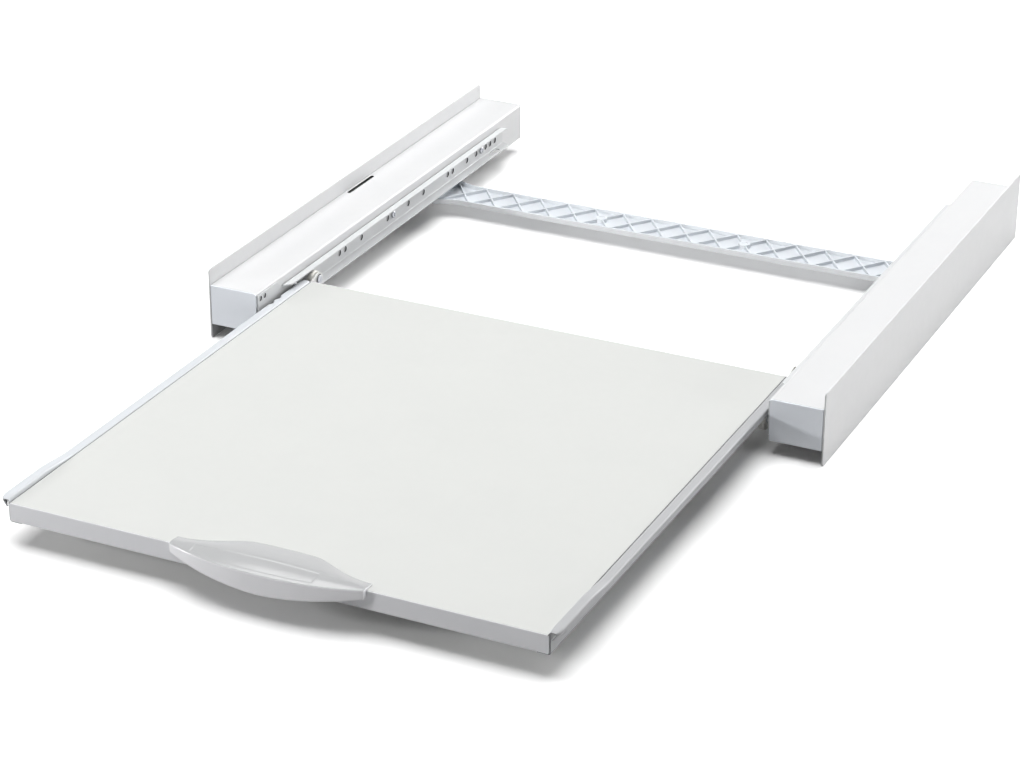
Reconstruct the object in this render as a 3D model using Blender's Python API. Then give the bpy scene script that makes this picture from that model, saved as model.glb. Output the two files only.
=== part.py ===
"""Stacking kit with a pull-out shelf, which ties a tumble dryer to the washing machine below it.

Two steel side rails stand on the washing machine and carry the dryer. Their lips hold both
machines from the sides. A plastic crossbar keeps the rails apart, and a board shelf runs out
between them on two roller slides. The shelf is modelled pulled out to its stop.

X runs across the machines, +Y points to the back and +Z up. The origin is on the floor in the
middle of the whole kit's plan, shelf and handle included. Every length is in metres.
"""
import math

import bmesh
import bpy
from mathutils import Matrix, Vector

MM = 0.001

# Gaps and cuts
GAP = 0.3 * MM                  # between two pieces that touch
OVERRUN = 2.0 * MM              # how far a cutter passes the faces it cuts
ARC_STEPS = 4                   # straight steps in a rounded corner
ROUND_SIDES = 20                # sides of a roller
HOLE_SIDES = 14                 # sides of a hole
SCREW_SIDES = 12                # sides of a screw

# Side rails
MACHINE_ROOM = 600.0 * MM       # clear width between the lips of the two rails
RAIL_LENGTH = 565.0 * MM
RAIL_SHEET = 1.5 * MM
RAIL_WIDTH = 50.0 * MM          # over the side plate and the channel
LOWER_LIP = 14.5 * MM           # side plate below the channel
UPPER_LIP = 15.5 * MM           # side plate above the channel
CHANNEL_HEIGHT = 39.0 * MM
CHANNEL_BEND = 2.2 * MM         # outside radius of the channel's bends
LIP_CORNER = 3.0 * MM
CAP_CORNER = 1.8 * MM
STRAP_SLOT_LENGTH = 52.0 * MM
STRAP_SLOT_WIDTH = 3.8 * MM
STRAP_SLOT_INSET = 2.4 * MM     # from the side plate
STRAP_SLOT_SETBACK = 281.0 * MM # rail's rear end to the slot's middle

# Rubber pads under the rails
PAD_LENGTH = 60.0 * MM
PAD_WIDTH = 30.0 * MM
PAD_THICKNESS = 2.0 * MM
PAD_CORNER = 4.0 * MM
PAD_END_DISTANCE = 25.0 * MM    # rail's end to the pad

# Crossbar
CROSSBAR_DEPTH = 43.0 * MM
CROSSBAR_HEIGHT = 5.6 * MM
CROSSBAR_SETBACK = 159.5 * MM   # rail's rear end to the crossbar's rear wall
CROSSBAR_WALL = 1.8 * MM
CROSSBAR_FLOOR = 1.5 * MM
CROSSBAR_CELLS = 16             # crossed ribs along the bar
RIB_THICKNESS = 1.4 * MM
RIB_DROP = 0.8 * MM             # rib tops below the wall tops
FLARE_LENGTH = 30.0 * MM        # widened end of the crossbar
FLARE_WIDTH = 9.0 * MM
FLARE_STEPS = 5
BOSS_RADIUS = 5.4 * MM
BOSS_CELLS = (5, 10)            # cells with a round boss on their crossing
TONGUE_LENGTH = 6.0 * MM        # tongue that plugs into the rail
TONGUE_WIDTH = 30.0 * MM
TONGUE_HEIGHT = 3.0 * MM
TONGUE_LIFT = 1.9 * MM          # tongue's underside above the crossbar's

# Sheet and rollers of the slides
RUNNER_SHEET = 1.2 * MM
RUNNER_SETBACK = 1.5 * MM       # runner's front end behind the rail's or the shelf's front
FRONT_ROLLER_RADIUS = 10.4 * MM
FRONT_ROLLER_WIDTH = 5.5 * MM
FRONT_ROLLER_SETBACK = 14.5 * MM    # rail's front to the roller's axis
REAR_ROLLER_RADIUS = 7.6 * MM
REAR_ROLLER_WIDTH = 6.0 * MM
REAR_ROLLER_REACH = 15.0 * MM   # roller's axis behind the shelf's rear edge
REAR_ROLLER_SPACER = 1.6 * MM   # drawer runner's web to the rear roller
ROLLER_SIDE_PLAY = 0.45 * MM
ROLLER_CHAMFER = 0.7 * MM
PIN_RADIUS = 2.5 * MM
PIN_HEAD_RADIUS = 4.2 * MM
PIN_HEAD_HEIGHT = 1.0 * MM
PIN_SHOULDER_RADIUS = 4.0 * MM
HEAD_RECESS = 1.5 * MM          # depth of the roller's recess round the pin's head
PASSING_PLAY = 1.0 * MM         # rear roller to the screw heads it passes
TRACK_DROP = 11.65 * MM         # lower flange's running face below the shelf's top
TRACK_HEIGHT = 17.3 * MM        # between the flanges of the fixed runner

# Runner fixed to the rail
FIXED_RUNNER_LENGTH = 515.0 * MM
FIXED_FLANGE_CLEARANCE = 1.4 * MM   # its lower flange to the drawer runner's web
UPPER_FLANGE_STEP = 2.6 * MM    # upper flange's edge behind the lower flange's
TAB_LENGTH = 35.0 * MM          # tall front end that carries the roller
TAB_SLOPE = 10.0 * MM
TAB_HEADROOM = 2.0 * MM         # tab's top below the channel's top
TAB_DROP = 6.0 * MM             # tab's foot below the lower flange
FLANGE_START = 28.0 * MM        # lower flange's front behind the runner's front
UPPER_FLANGE_START = 45.0 * MM
FLANGE_SLANT = 6.0 * MM
FLANGE_SHORTFALL = 5.0 * MM     # lower flange ends ahead of the web
WEB_HOLE_RADIUS = 3.0 * MM
WEB_HOLE_START = 166.0 * MM     # runner's front to the first hole of the row
WEB_HOLE_PITCH = 33.0 * MM
WEB_HOLE_STEPS = (0, 1, 4, 5, 7, 8, 10)
PAIR_HOLE_STEPS = (0, 3, 7, 9, 10)
PAIR_HOLE_OFFSET = 11.3 * MM
TAB_HOLE_RADIUS = 2.4 * MM
TAB_HOLE_DROP = 4.2 * MM        # below the tab's top
TAB_HOLE_PLACES = (5.0 * MM, 12.6 * MM)
FIXED_SCREW_STEPS = (-3, 3, 9)
FLANGE_SLOT_LENGTH = 21.0 * MM
FLANGE_SLOT_WIDTH = 4.4 * MM
FLANGE_SLOT_SETBACK = 30.0 * MM # runner's rear end to the slot's middle
STOP_HEIGHT = 4.2 * MM          # upturned stop ahead of the rear roller
STOP_WIDTH = 4.0 * MM

# Runner fixed to the shelf
DRAWER_FLANGE_UNDER = 10.0 * MM # flange under the shelf, inside its side
DRAWER_LIP_HEIGHT = 5.2 * MM    # lip below the upper flange
DRAWER_RISE = 3.0 * MM          # raised front of the upper flange
DRAWER_RISE_LENGTH = 51.0 * MM
DRAWER_RAMP_LENGTH = 45.0 * MM
DRAWER_FLANGE_STOP = 2.5 * MM   # upper flange ends ahead of the shelf's rear edge
EAR_RADIUS = 6.8 * MM           # round end of the web, on the rear roller's axis
NOTCH_RADIUS = 6.0 * MM
NOTCH_DEPTH = 2.2 * MM
NOTCH_PITCH = 12.8 * MM
NOTCH_COUNT = 2
NOTCH_START = 60.5 * MM         # shelf's rear edge to the foremost notch

# Shelf
SHELF_DEPTH = 494.0 * MM
SHELF_THICKNESS = 16.0 * MM
SHELF_OVERLAP = 79.0 * MM       # shelf still between the rails when it is pulled out
SHELF_BAND = 1.0 * MM
SHELF_OVER_CROSSBAR = 0.6 * MM  # drawer runner above the crossbar

# Screws
SCREW_RADIUS = 1.8 * MM
SCREW_HEAD_RADIUS = 3.5 * MM
SCREW_LENGTH = 13.0 * MM        # of a shelf screw
SCREW_TIP = 2.5 * MM
SCREW_NECK = 0.4 * MM
SHELF_SCREW_END_SHARE = 0.1     # of the shelf's depth, from either end
FIXED_SCREW_LENGTH = 7.0 * MM
FIXED_SCREW_HEAD = 1.8 * MM
HANDLE_SCREW_RADIUS = 2.0 * MM
HANDLE_SCREW_HEAD = 2.0 * MM
HANDLE_SCREW_HEAD_RADIUS = 4.0 * MM
HANDLE_SCREW_BITE = 3.0 * MM    # thread in the handle
HANDLE_SCREW_SPACING = 70.0 * MM
HANDLE_SCREW_SETBACK = 8.0 * MM # behind the shelf's front edge

# Handle
HANDLE_WIDTH = 172.0 * MM
HANDLE_REACH = 18.5 * MM        # ahead of the shelf's front
HANDLE_END_REACH = 4.0 * MM
HANDLE_OVERLAP = 30.0 * MM      # on the shelf's top, in the middle
HANDLE_END_OVERLAP = 8.0 * MM
HANDLE_CREST = 5.5 * MM         # above the shelf's top, in the middle
HANDLE_END_CREST = 2.6 * MM
HANDLE_CREST_SETBACK = 3.5 * MM
HANDLE_REAR_EDGE = 1.2 * MM
HANDLE_BROW_DROP = 3.0 * MM     # front edge below the crest
HANDLE_BROW_RADIUS = 1.4 * MM
HANDLE_WALL = 2.2 * MM
HANDLE_APRON = 14.7 * MM        # front wall below the shelf's top, in the middle
HANDLE_END_APRON = 7.5 * MM
HANDLE_STATIONS = 22
HANDLE_SHOULDER_SHARE = 0.37    # of the half width, where the rear edge turns
HANDLE_NECK_SHARE = 0.80        # of the half width, where it runs level again
HANDLE_BOW_POWER = 1.3

# Derived heights
CHANNEL_BASE = LOWER_LIP
CHANNEL_TOP = LOWER_LIP + CHANNEL_HEIGHT
RAIL_HEIGHT = CHANNEL_TOP + UPPER_LIP
CROSSBAR_BASE = CHANNEL_BASE + GAP
CROSSBAR_TOP = CROSSBAR_BASE + CROSSBAR_HEIGHT
DRAWER_BASE = CROSSBAR_TOP + SHELF_OVER_CROSSBAR
SHELF_BASE = DRAWER_BASE + RUNNER_SHEET + GAP
SHELF_TOP = SHELF_BASE + SHELF_THICKNESS
FRONT_ROLLER_Z = SHELF_TOP - GAP - FRONT_ROLLER_RADIUS
LOWER_TRACK = SHELF_TOP - TRACK_DROP
UPPER_TRACK = LOWER_TRACK + TRACK_HEIGHT
WEB_HOLE_Z = (LOWER_TRACK + UPPER_TRACK) / 2
REAR_ROLLER_Z = LOWER_TRACK + GAP + REAR_ROLLER_RADIUS
TAB_TOP = CHANNEL_TOP - TAB_HEADROOM
TAB_FOOT = LOWER_TRACK - RUNNER_SHEET - TAB_DROP

# Derived places across the kit, on the right-hand side
SIDE_INNER_X = MACHINE_ROOM / 2
SIDE_OUTER_X = SIDE_INNER_X + RAIL_SHEET
CHANNEL_X = SIDE_OUTER_X - RAIL_WIDTH
FIXED_WEB_OUTER_X = CHANNEL_X - GAP
FIXED_WEB_X = FIXED_WEB_OUTER_X - RUNNER_SHEET
FRONT_STACK = ROLLER_SIDE_PLAY * 2 + FRONT_ROLLER_WIDTH + RUNNER_SHEET
REAR_STACK = GAP + REAR_ROLLER_SPACER + REAR_ROLLER_WIDTH
ROLLER_ROOM = max(FRONT_STACK, REAR_STACK)
DRAWER_WEB_X = FIXED_WEB_X - GAP - FIXED_SCREW_HEAD - PASSING_PLAY - ROLLER_ROOM
DRAWER_WEB_INNER_X = DRAWER_WEB_X - RUNNER_SHEET
SHELF_X = DRAWER_WEB_INNER_X - GAP
DRAWER_LIP_X = DRAWER_WEB_X + FRONT_STACK
FRONT_ROLLER_X = DRAWER_WEB_X + ROLLER_SIDE_PLAY
REAR_ROLLER_X = DRAWER_WEB_X + GAP + REAR_ROLLER_SPACER
LOWER_FLANGE_X = DRAWER_WEB_X + FIXED_FLANGE_CLEARANCE
UPPER_FLANGE_X = LOWER_FLANGE_X + UPPER_FLANGE_STEP
DRAWER_FOOT_X = SHELF_X - DRAWER_FLANGE_UNDER
SHELF_SCREW_X = SHELF_X - DRAWER_FLANGE_UNDER / 2

# Derived places from front to back
SHELF_OUT = SHELF_DEPTH - SHELF_OVERLAP
OVERALL_DEPTH = RAIL_LENGTH + SHELF_OUT + HANDLE_REACH
RAIL_REAR_Y = OVERALL_DEPTH / 2
RAIL_FRONT_Y = RAIL_REAR_Y - RAIL_LENGTH
SHELF_FRONT_Y = RAIL_FRONT_Y - SHELF_OUT
SHELF_REAR_Y = SHELF_FRONT_Y + SHELF_DEPTH
CROSSBAR_REAR_Y = RAIL_REAR_Y - CROSSBAR_SETBACK
CROSSBAR_FRONT_Y = CROSSBAR_REAR_Y - CROSSBAR_DEPTH
CROSSBAR_MID_Y = (CROSSBAR_FRONT_Y + CROSSBAR_REAR_Y) / 2
STRAP_SLOT_Y = RAIL_REAR_Y - STRAP_SLOT_SETBACK
FIXED_FRONT_Y = RAIL_FRONT_Y + RUNNER_SETBACK
FIXED_REAR_Y = FIXED_FRONT_Y + FIXED_RUNNER_LENGTH
FRONT_ROLLER_Y = RAIL_FRONT_Y + FRONT_ROLLER_SETBACK
DRAWER_FRONT_Y = SHELF_FRONT_Y + RUNNER_SETBACK
REAR_ROLLER_Y = SHELF_REAR_Y + REAR_ROLLER_REACH

SIDES = (("left", -1), ("right", 1))


def clear_scene():
    for obj in list(bpy.data.objects):
        bpy.data.objects.remove(obj, do_unlink=True)


def make_material(name, color, roughness, metallic=0.0):
    material = bpy.data.materials.new(name)
    material.use_nodes = True
    shader = material.node_tree.nodes["Principled BSDF"]
    shader.inputs["Base Color"].default_value = (*color, 1.0)
    shader.inputs["Roughness"].default_value = roughness
    shader.inputs["Metallic"].default_value = metallic
    return material


def make_materials():
    return {
        "powder": make_material("white_powder_coat", (0.88, 0.89, 0.90), 0.45),
        "epoxy": make_material("runner_epoxy", (0.80, 0.81, 0.82), 0.35),
        "zinc": make_material("zinc_plate", (0.62, 0.63, 0.65), 0.35, 1.0),
        "nylon": make_material("roller_nylon", (0.86, 0.84, 0.76), 0.40),
        "rubber": make_material("pad_rubber", (0.02, 0.02, 0.02), 0.80),
        "board": make_material("white_melamine", (0.84, 0.85, 0.83), 0.50),
        "band": make_material("edge_band", (0.78, 0.78, 0.80), 0.45),
        "handle": make_material("handle_plastic", (0.78, 0.78, 0.80), 0.30),
        "crossbar": make_material("crossbar_plastic", (0.84, 0.87, 0.92), 0.45),
    }


# Building blocks

def place(bm, name, material, holder=None, at=(0, 0, 0)):
    """Turn a bmesh into a named object, built round the point at and held by holder."""
    bmesh.ops.recalc_face_normals(bm, faces=bm.faces)
    mesh = bpy.data.meshes.new(name)
    bm.to_mesh(mesh)
    bm.free()
    obj = bpy.data.objects.new(name, mesh)
    bpy.context.scene.collection.objects.link(obj)
    obj.location = at
    if material is not None:
        mesh.materials.append(material)
    if holder is not None:
        obj.parent = holder
        obj.matrix_parent_inverse = Matrix.Translation(holder.location).inverted()
    return obj


def smooth(obj, angle=35.0):
    obj.data.shade_smooth()
    obj.data.set_sharp_from_angle(angle=math.radians(angle))
    return obj


def on_axis(axis, u, v, w):
    """Point with w along the axis and u, v across it, in X, Y, Z order."""
    if axis == "X":
        return Vector((w, u, v))
    if axis == "Y":
        return Vector((u, w, v))
    return Vector((u, v, w))


def add_prism(bm, outline, axis, low, high):
    """Flat outline extruded from low to high along an axis."""
    corners = [bm.verts.new(on_axis(axis, u, v, low)) for u, v in outline]
    face = bm.faces.new(corners)
    grown = bmesh.ops.extrude_face_region(bm, geom=[face])
    moved = [item for item in grown["geom"] if isinstance(item, bmesh.types.BMVert)]
    bmesh.ops.translate(bm, verts=moved, vec=on_axis(axis, 0, 0, high - low))


def add_turned(bm, profile, axis, centre, sides):
    """Profile of (radius, distance along the axis) pairs spun round an axis."""
    spun = [bm.verts.new(on_axis(axis, radius, 0, along)) for radius, along in profile]
    edges = [bm.edges.new(pair) for pair in zip(spun, spun[1:])]
    closed = profile[0][0] > 0
    if closed:
        edges.append(bm.edges.new((spun[-1], spun[0])))
    bmesh.ops.spin(bm, geom=spun + edges, cent=(0, 0, 0), axis=on_axis(axis, 0, 0, 1),
                   dvec=(0, 0, 0), angle=math.tau, steps=sides, use_merge=True)
    bmesh.ops.remove_doubles(bm, verts=bm.verts, dist=GAP / 100)
    bmesh.ops.translate(bm, verts=bm.verts, vec=centre)


def add_cylinder(bm, radius, axis, centre, low, high, sides=HOLE_SIDES):
    """Cylinder round a point of the plane across the axis, from low to high along it."""
    turn = math.tau / sides
    ring = [(centre[0] + radius * math.cos(turn * (step + 0.5)),
             centre[1] + radius * math.sin(turn * (step + 0.5))) for step in range(sides)]
    add_prism(bm, ring, axis, low, high)


def add_box(bm, x, y, z):
    """Box from pairs of low and high places along X, Y and Z."""
    outline = [(x[0], y[0]), (x[1], y[0]), (x[1], y[1]), (x[0], y[1])]
    add_prism(bm, outline, "Z", z[0], z[1])


def add_loft(bm, sections):
    """Closed skin through loops of points, each with as many points as the next."""
    rings = [[bm.verts.new(point) for point in section] for section in sections]
    for near, far in zip(rings, rings[1:]):
        for index in range(len(near)):
            after = (index + 1) % len(near)
            bm.faces.new((near[index], near[after], far[after], far[index]))
    bm.faces.new(rings[0])
    bm.faces.new(rings[-1])


def rounded(corners):
    """Outline through (u, v, radius) corners, each rounded by an arc of its radius."""
    points = []
    for index, (u, v, radius) in enumerate(corners):
        here = Vector((u, v))
        back = Vector(corners[index - 1][:2]) - here
        ahead = Vector(corners[(index + 1) % len(corners)][:2]) - here
        if radius == 0:
            points.append((u, v))
            continue
        half = back.angle(ahead) / 2
        middle = here + (back.normalized() + ahead.normalized()).normalized() * radius / math.sin(half)
        start = here + back.normalized() * radius / math.tan(half) - middle
        end = here + ahead.normalized() * radius / math.tan(half) - middle
        sweep = -start.angle_signed(end)
        for step in range(ARC_STEPS + 1):
            points.append(tuple(middle + rotated(start, sweep * step / ARC_STEPS)))
    return points


def rotated(arm, angle):
    return Vector((arm.x * math.cos(angle) - arm.y * math.sin(angle),
                   arm.x * math.sin(angle) + arm.y * math.cos(angle)))


def mirrored(points, side):
    """Points of the right-hand side in X and one more direction, put on either side."""
    return [(side * x, other) for x, other in points]


def span(side, near, far):
    """Low and high X of a stretch given on the right-hand side."""
    return tuple(sorted((side * near, side * far)))


def as_tool(obj):
    obj.hide_render = True
    obj.display_type = "WIRE"
    return obj


def combine(target, tool, operation):
    as_tool(tool)
    modifier = target.modifiers.new(tool.name, "BOOLEAN")
    modifier.operation = operation
    modifier.object = tool
    return target


def cut(target, bm):
    return combine(target, place(bm, target.name + "_cutter", None), "DIFFERENCE")


def unite(target, bm):
    return combine(target, place(bm, target.name + "_addition", None), "UNION")


# Side rails

def side_plate(name, side, materials):
    """Outer plate, standing above and below the channel as the two lips."""
    outline = rounded([(RAIL_FRONT_Y, 0, LIP_CORNER), (RAIL_REAR_Y, 0, LIP_CORNER),
                       (RAIL_REAR_Y, RAIL_HEIGHT, LIP_CORNER), (RAIL_FRONT_Y, RAIL_HEIGHT, LIP_CORNER)])
    bm = bmesh.new()
    low, high = span(side, SIDE_INNER_X, SIDE_OUTER_X)
    add_prism(bm, outline, "X", low, high)
    return place(bm, name + "_side_plate", materials["powder"])


def channel_outline():
    """Section of the channel, open towards the side plate."""
    open_x = SIDE_INNER_X - GAP
    inner_bend = CHANNEL_BEND - RAIL_SHEET
    return rounded([
        (open_x, CHANNEL_TOP, 0), (CHANNEL_X, CHANNEL_TOP, CHANNEL_BEND),
        (CHANNEL_X, CHANNEL_BASE, CHANNEL_BEND), (open_x, CHANNEL_BASE, 0),
        (open_x, CHANNEL_BASE + RAIL_SHEET, 0),
        (CHANNEL_X + RAIL_SHEET, CHANNEL_BASE + RAIL_SHEET, inner_bend),
        (CHANNEL_X + RAIL_SHEET, CHANNEL_TOP - RAIL_SHEET, inner_bend),
        (open_x, CHANNEL_TOP - RAIL_SHEET, 0)])


def strap_slot(bm, side):
    """Long hole in the top of the channel, beside the side plate."""
    near = SIDE_INNER_X - GAP - STRAP_SLOT_INSET
    far = near - STRAP_SLOT_WIDTH
    half = STRAP_SLOT_LENGTH / 2
    end = STRAP_SLOT_WIDTH / 2 - GAP
    corners = [(near, STRAP_SLOT_Y - half, end), (near, STRAP_SLOT_Y + half, end),
               (far, STRAP_SLOT_Y + half, end), (far, STRAP_SLOT_Y - half, end)]
    low = CHANNEL_TOP - RAIL_SHEET - OVERRUN
    add_prism(bm, mirrored(rounded(corners), side), "Z", low, CHANNEL_TOP + OVERRUN)


def tongue_slot(bm, side):
    """Hole in the channel's inner wall for the crossbar's tongue."""
    base = CROSSBAR_BASE + TONGUE_LIFT
    half = TONGUE_WIDTH / 2 + GAP
    add_box(bm, span(side, CHANNEL_X - OVERRUN, CHANNEL_X + RAIL_SHEET + OVERRUN),
            (CROSSBAR_MID_Y - half, CROSSBAR_MID_Y + half), (base - GAP, base + TONGUE_HEIGHT + GAP))


def channel(name, side, materials):
    """Folded channel that carries the dryer, with the slide screwed to its inner wall."""
    bm = bmesh.new()
    inset = RAIL_SHEET + GAP
    add_prism(bm, mirrored(channel_outline(), side), "Y", RAIL_FRONT_Y + inset, RAIL_REAR_Y - inset)
    obj = place(bm, name + "_channel", materials["powder"])
    holes = bmesh.new()
    strap_slot(holes, side)
    tongue_slot(holes, side)
    low, high = span(side, CHANNEL_X - OVERRUN, CHANNEL_X + RAIL_SHEET + OVERRUN)
    for y in fixed_screw_places():
        add_cylinder(holes, HANDLE_SCREW_RADIUS + GAP, "X", (y, WEB_HOLE_Z), low, high)
    return cut(obj, holes)


def end_cap(name, side, low, materials):
    """Plate that closes one end of the channel."""
    open_x = SIDE_INNER_X - GAP
    corners = [(open_x, CHANNEL_BASE, 0), (open_x, CHANNEL_TOP, 0),
               (CHANNEL_X, CHANNEL_TOP, CAP_CORNER), (CHANNEL_X, CHANNEL_BASE, CAP_CORNER)]
    bm = bmesh.new()
    add_prism(bm, mirrored(rounded(corners), side), "Y", low, low + RAIL_SHEET)
    return place(bm, name, materials["powder"])


def rubber_pad(name, side, front, materials):
    """Pad under the channel, which rests on the washing machine."""
    near = (CHANNEL_X + SIDE_INNER_X - PAD_WIDTH) / 2
    corners = [(near, front, PAD_CORNER), (near + PAD_WIDTH, front, PAD_CORNER),
               (near + PAD_WIDTH, front + PAD_LENGTH, PAD_CORNER), (near, front + PAD_LENGTH, PAD_CORNER)]
    bm = bmesh.new()
    top = CHANNEL_BASE - GAP
    add_prism(bm, mirrored(rounded(corners), side), "Z", top - PAD_THICKNESS, top)
    return place(bm, name, materials["rubber"])


def rail(name, side, materials):
    side_plate(name, side, materials)
    channel(name, side, materials)
    end_cap(name + "_front_cap", side, RAIL_FRONT_Y, materials)
    end_cap(name + "_rear_cap", side, RAIL_REAR_Y - RAIL_SHEET, materials)
    rubber_pad(name + "_front_pad", side, RAIL_FRONT_Y + PAD_END_DISTANCE, materials)
    rubber_pad(name + "_rear_pad", side, RAIL_REAR_Y - PAD_END_DISTANCE - PAD_LENGTH, materials)


# Runners on the rails

def fixed_hole_y(step):
    return FIXED_FRONT_Y + WEB_HOLE_START + WEB_HOLE_PITCH * step


def fixed_screw_places():
    return [fixed_hole_y(step) for step in FIXED_SCREW_STEPS]


def fixed_runner_outline():
    """Section of the fixed runner, as tall as its front tab all the way."""
    lower = LOWER_TRACK - RUNNER_SHEET
    upper = UPPER_TRACK + RUNNER_SHEET
    return [(FIXED_WEB_OUTER_X, TAB_FOOT), (FIXED_WEB_OUTER_X, TAB_TOP), (FIXED_WEB_X, TAB_TOP),
            (FIXED_WEB_X, upper), (UPPER_FLANGE_X, upper), (UPPER_FLANGE_X, UPPER_TRACK),
            (FIXED_WEB_X, UPPER_TRACK), (FIXED_WEB_X, LOWER_TRACK), (LOWER_FLANGE_X, LOWER_TRACK),
            (LOWER_FLANGE_X, lower), (FIXED_WEB_X, lower), (FIXED_WEB_X, TAB_FOOT)]


def trim_web(bm, side):
    """Cuts that leave the tall tab only at the front of the web."""
    low, high = span(side, FIXED_WEB_X - OVERRUN, FIXED_WEB_OUTER_X + OVERRUN)
    start = FIXED_FRONT_Y + TAB_LENGTH
    rear = FIXED_REAR_Y + OVERRUN
    upper = UPPER_TRACK + RUNNER_SHEET
    lower = LOWER_TRACK - RUNNER_SHEET
    above = [(start, TAB_TOP + OVERRUN), (start, TAB_TOP), (start + TAB_SLOPE, upper), (rear, upper),
             (rear, TAB_TOP + OVERRUN)]
    below = [(start, TAB_FOOT - OVERRUN), (start, TAB_FOOT), (start + TAB_SLOPE, lower), (rear, lower),
             (rear, TAB_FOOT - OVERRUN)]
    add_prism(bm, above, "X", low, high)
    add_prism(bm, below, "X", low, high)


def trim_flange(bm, side, edge_x, start, rear, low):
    """Cuts that end a flange of the fixed runner at start and at rear, slanted."""
    free = edge_x - OVERRUN
    ahead = FIXED_FRONT_Y - OVERRUN
    behind = FIXED_REAR_Y + OVERRUN
    front_cut = [(FIXED_WEB_X, ahead), (FIXED_WEB_X, start), (free, start + FLANGE_SLANT), (free, ahead)]
    rear_cut = [(FIXED_WEB_X, behind), (FIXED_WEB_X, rear), (free, rear - FLANGE_SLANT), (free, behind)]
    for outline in (front_cut, rear_cut):
        add_prism(bm, mirrored(outline, side), "Z", low - GAP, low + RUNNER_SHEET + GAP)


def runner_holes(bm, side):
    """Row of holes in the fixed runner's web, the two in its tab, and the pin's hole."""
    low, high = span(side, FIXED_WEB_X - OVERRUN, FIXED_WEB_OUTER_X + OVERRUN)
    rows = [fixed_hole_y(step) for step in WEB_HOLE_STEPS]
    rows += [fixed_hole_y(step) - PAIR_HOLE_OFFSET for step in PAIR_HOLE_STEPS]
    rows.append(fixed_hole_y(FIXED_SCREW_STEPS[-1]) + PAIR_HOLE_OFFSET)
    for y in rows:
        add_cylinder(bm, WEB_HOLE_RADIUS, "X", (y, WEB_HOLE_Z), low, high)
    for place_y in TAB_HOLE_PLACES:
        centre = (FIXED_FRONT_Y + place_y, TAB_TOP - TAB_HOLE_DROP)
        add_cylinder(bm, TAB_HOLE_RADIUS, "X", centre, low, high)
    for y in fixed_screw_places():
        add_cylinder(bm, HANDLE_SCREW_RADIUS + GAP, "X", (y, WEB_HOLE_Z), low, high)
    add_cylinder(bm, PIN_RADIUS + GAP, "X", (FRONT_ROLLER_Y, FRONT_ROLLER_Z), low, high)


def flange_slot(bm, side):
    """Long hole in the lower flange, near its rear end."""
    middle_x = (LOWER_FLANGE_X + FIXED_WEB_X) / 2
    middle_y = FIXED_REAR_Y - FLANGE_SLOT_SETBACK
    half_x = FLANGE_SLOT_WIDTH / 2
    half_y = FLANGE_SLOT_LENGTH / 2
    end = half_x - GAP
    corners = [(middle_x - half_x, middle_y - half_y, end), (middle_x + half_x, middle_y - half_y, end),
               (middle_x + half_x, middle_y + half_y, end), (middle_x - half_x, middle_y + half_y, end)]
    add_prism(bm, mirrored(rounded(corners), side), "Z", LOWER_TRACK - RUNNER_SHEET - OVERRUN,
              LOWER_TRACK + OVERRUN)


def roller_stop(bm, side):
    """Tab turned up from the lower flange, which stops the rear roller when the shelf is out."""
    reach = math.sqrt(REAR_ROLLER_RADIUS ** 2 - (REAR_ROLLER_RADIUS - STOP_HEIGHT) ** 2)
    rear = REAR_ROLLER_Y - reach - GAP
    add_box(bm, span(side, REAR_ROLLER_X, REAR_ROLLER_X + STOP_WIDTH), (rear - RUNNER_SHEET, rear),
            (LOWER_TRACK - RUNNER_SHEET / 2, LOWER_TRACK + STOP_HEIGHT))


def fixed_runner(name, side, materials):
    """Epoxy-coated runner on the rail, in which the rear roller runs."""
    bm = bmesh.new()
    add_prism(bm, mirrored(fixed_runner_outline(), side), "Y", FIXED_FRONT_Y, FIXED_REAR_Y)
    obj = place(bm, name + "_fixed_runner", materials["epoxy"])
    web_trim = bmesh.new()
    trim_web(web_trim, side)
    cut(obj, web_trim)
    flange_trim = bmesh.new()
    trim_flange(flange_trim, side, LOWER_FLANGE_X, FIXED_FRONT_Y + FLANGE_START,
                FIXED_REAR_Y - FLANGE_SHORTFALL, LOWER_TRACK - RUNNER_SHEET)
    trim_flange(flange_trim, side, UPPER_FLANGE_X, FIXED_FRONT_Y + UPPER_FLANGE_START,
                FIXED_REAR_Y, UPPER_TRACK)
    cut(obj, flange_trim)
    holes = bmesh.new()
    runner_holes(holes, side)
    flange_slot(holes, side)
    cut(obj, holes)
    stop = bmesh.new()
    roller_stop(stop, side)
    return unite(obj, stop)


def pan_screw(name, head_radius, head_height, radius, length, material, holder=None):
    """Screw along +Z from the head's underside at the local origin, to be turned and placed."""
    dome = head_height / 2
    profile = [(0, -head_height), (head_radius * 2 / 3, -head_height), (head_radius, -dome),
               (head_radius, 0), (radius, 0), (radius, length - radius), (radius / 2, length),
               (0, length)]
    bm = bmesh.new()
    add_turned(bm, profile, "Z", (0, 0, 0), SCREW_SIDES)
    return smooth(place(bm, name, material, holder))


def fixed_screws(name, side, materials):
    """Screws that hold the fixed runner to the channel."""
    for number, y in enumerate(fixed_screw_places(), 1):
        screw = pan_screw(f"{name}_runner_screw_{number}", SCREW_HEAD_RADIUS, FIXED_SCREW_HEAD,
                          HANDLE_SCREW_RADIUS, FIXED_SCREW_LENGTH, materials["zinc"])
        screw.location = (side * (FIXED_WEB_X - GAP), y, WEB_HOLE_Z)
        screw.rotation_euler = (0, side * math.pi / 2, 0)


# Rollers and their pins

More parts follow.
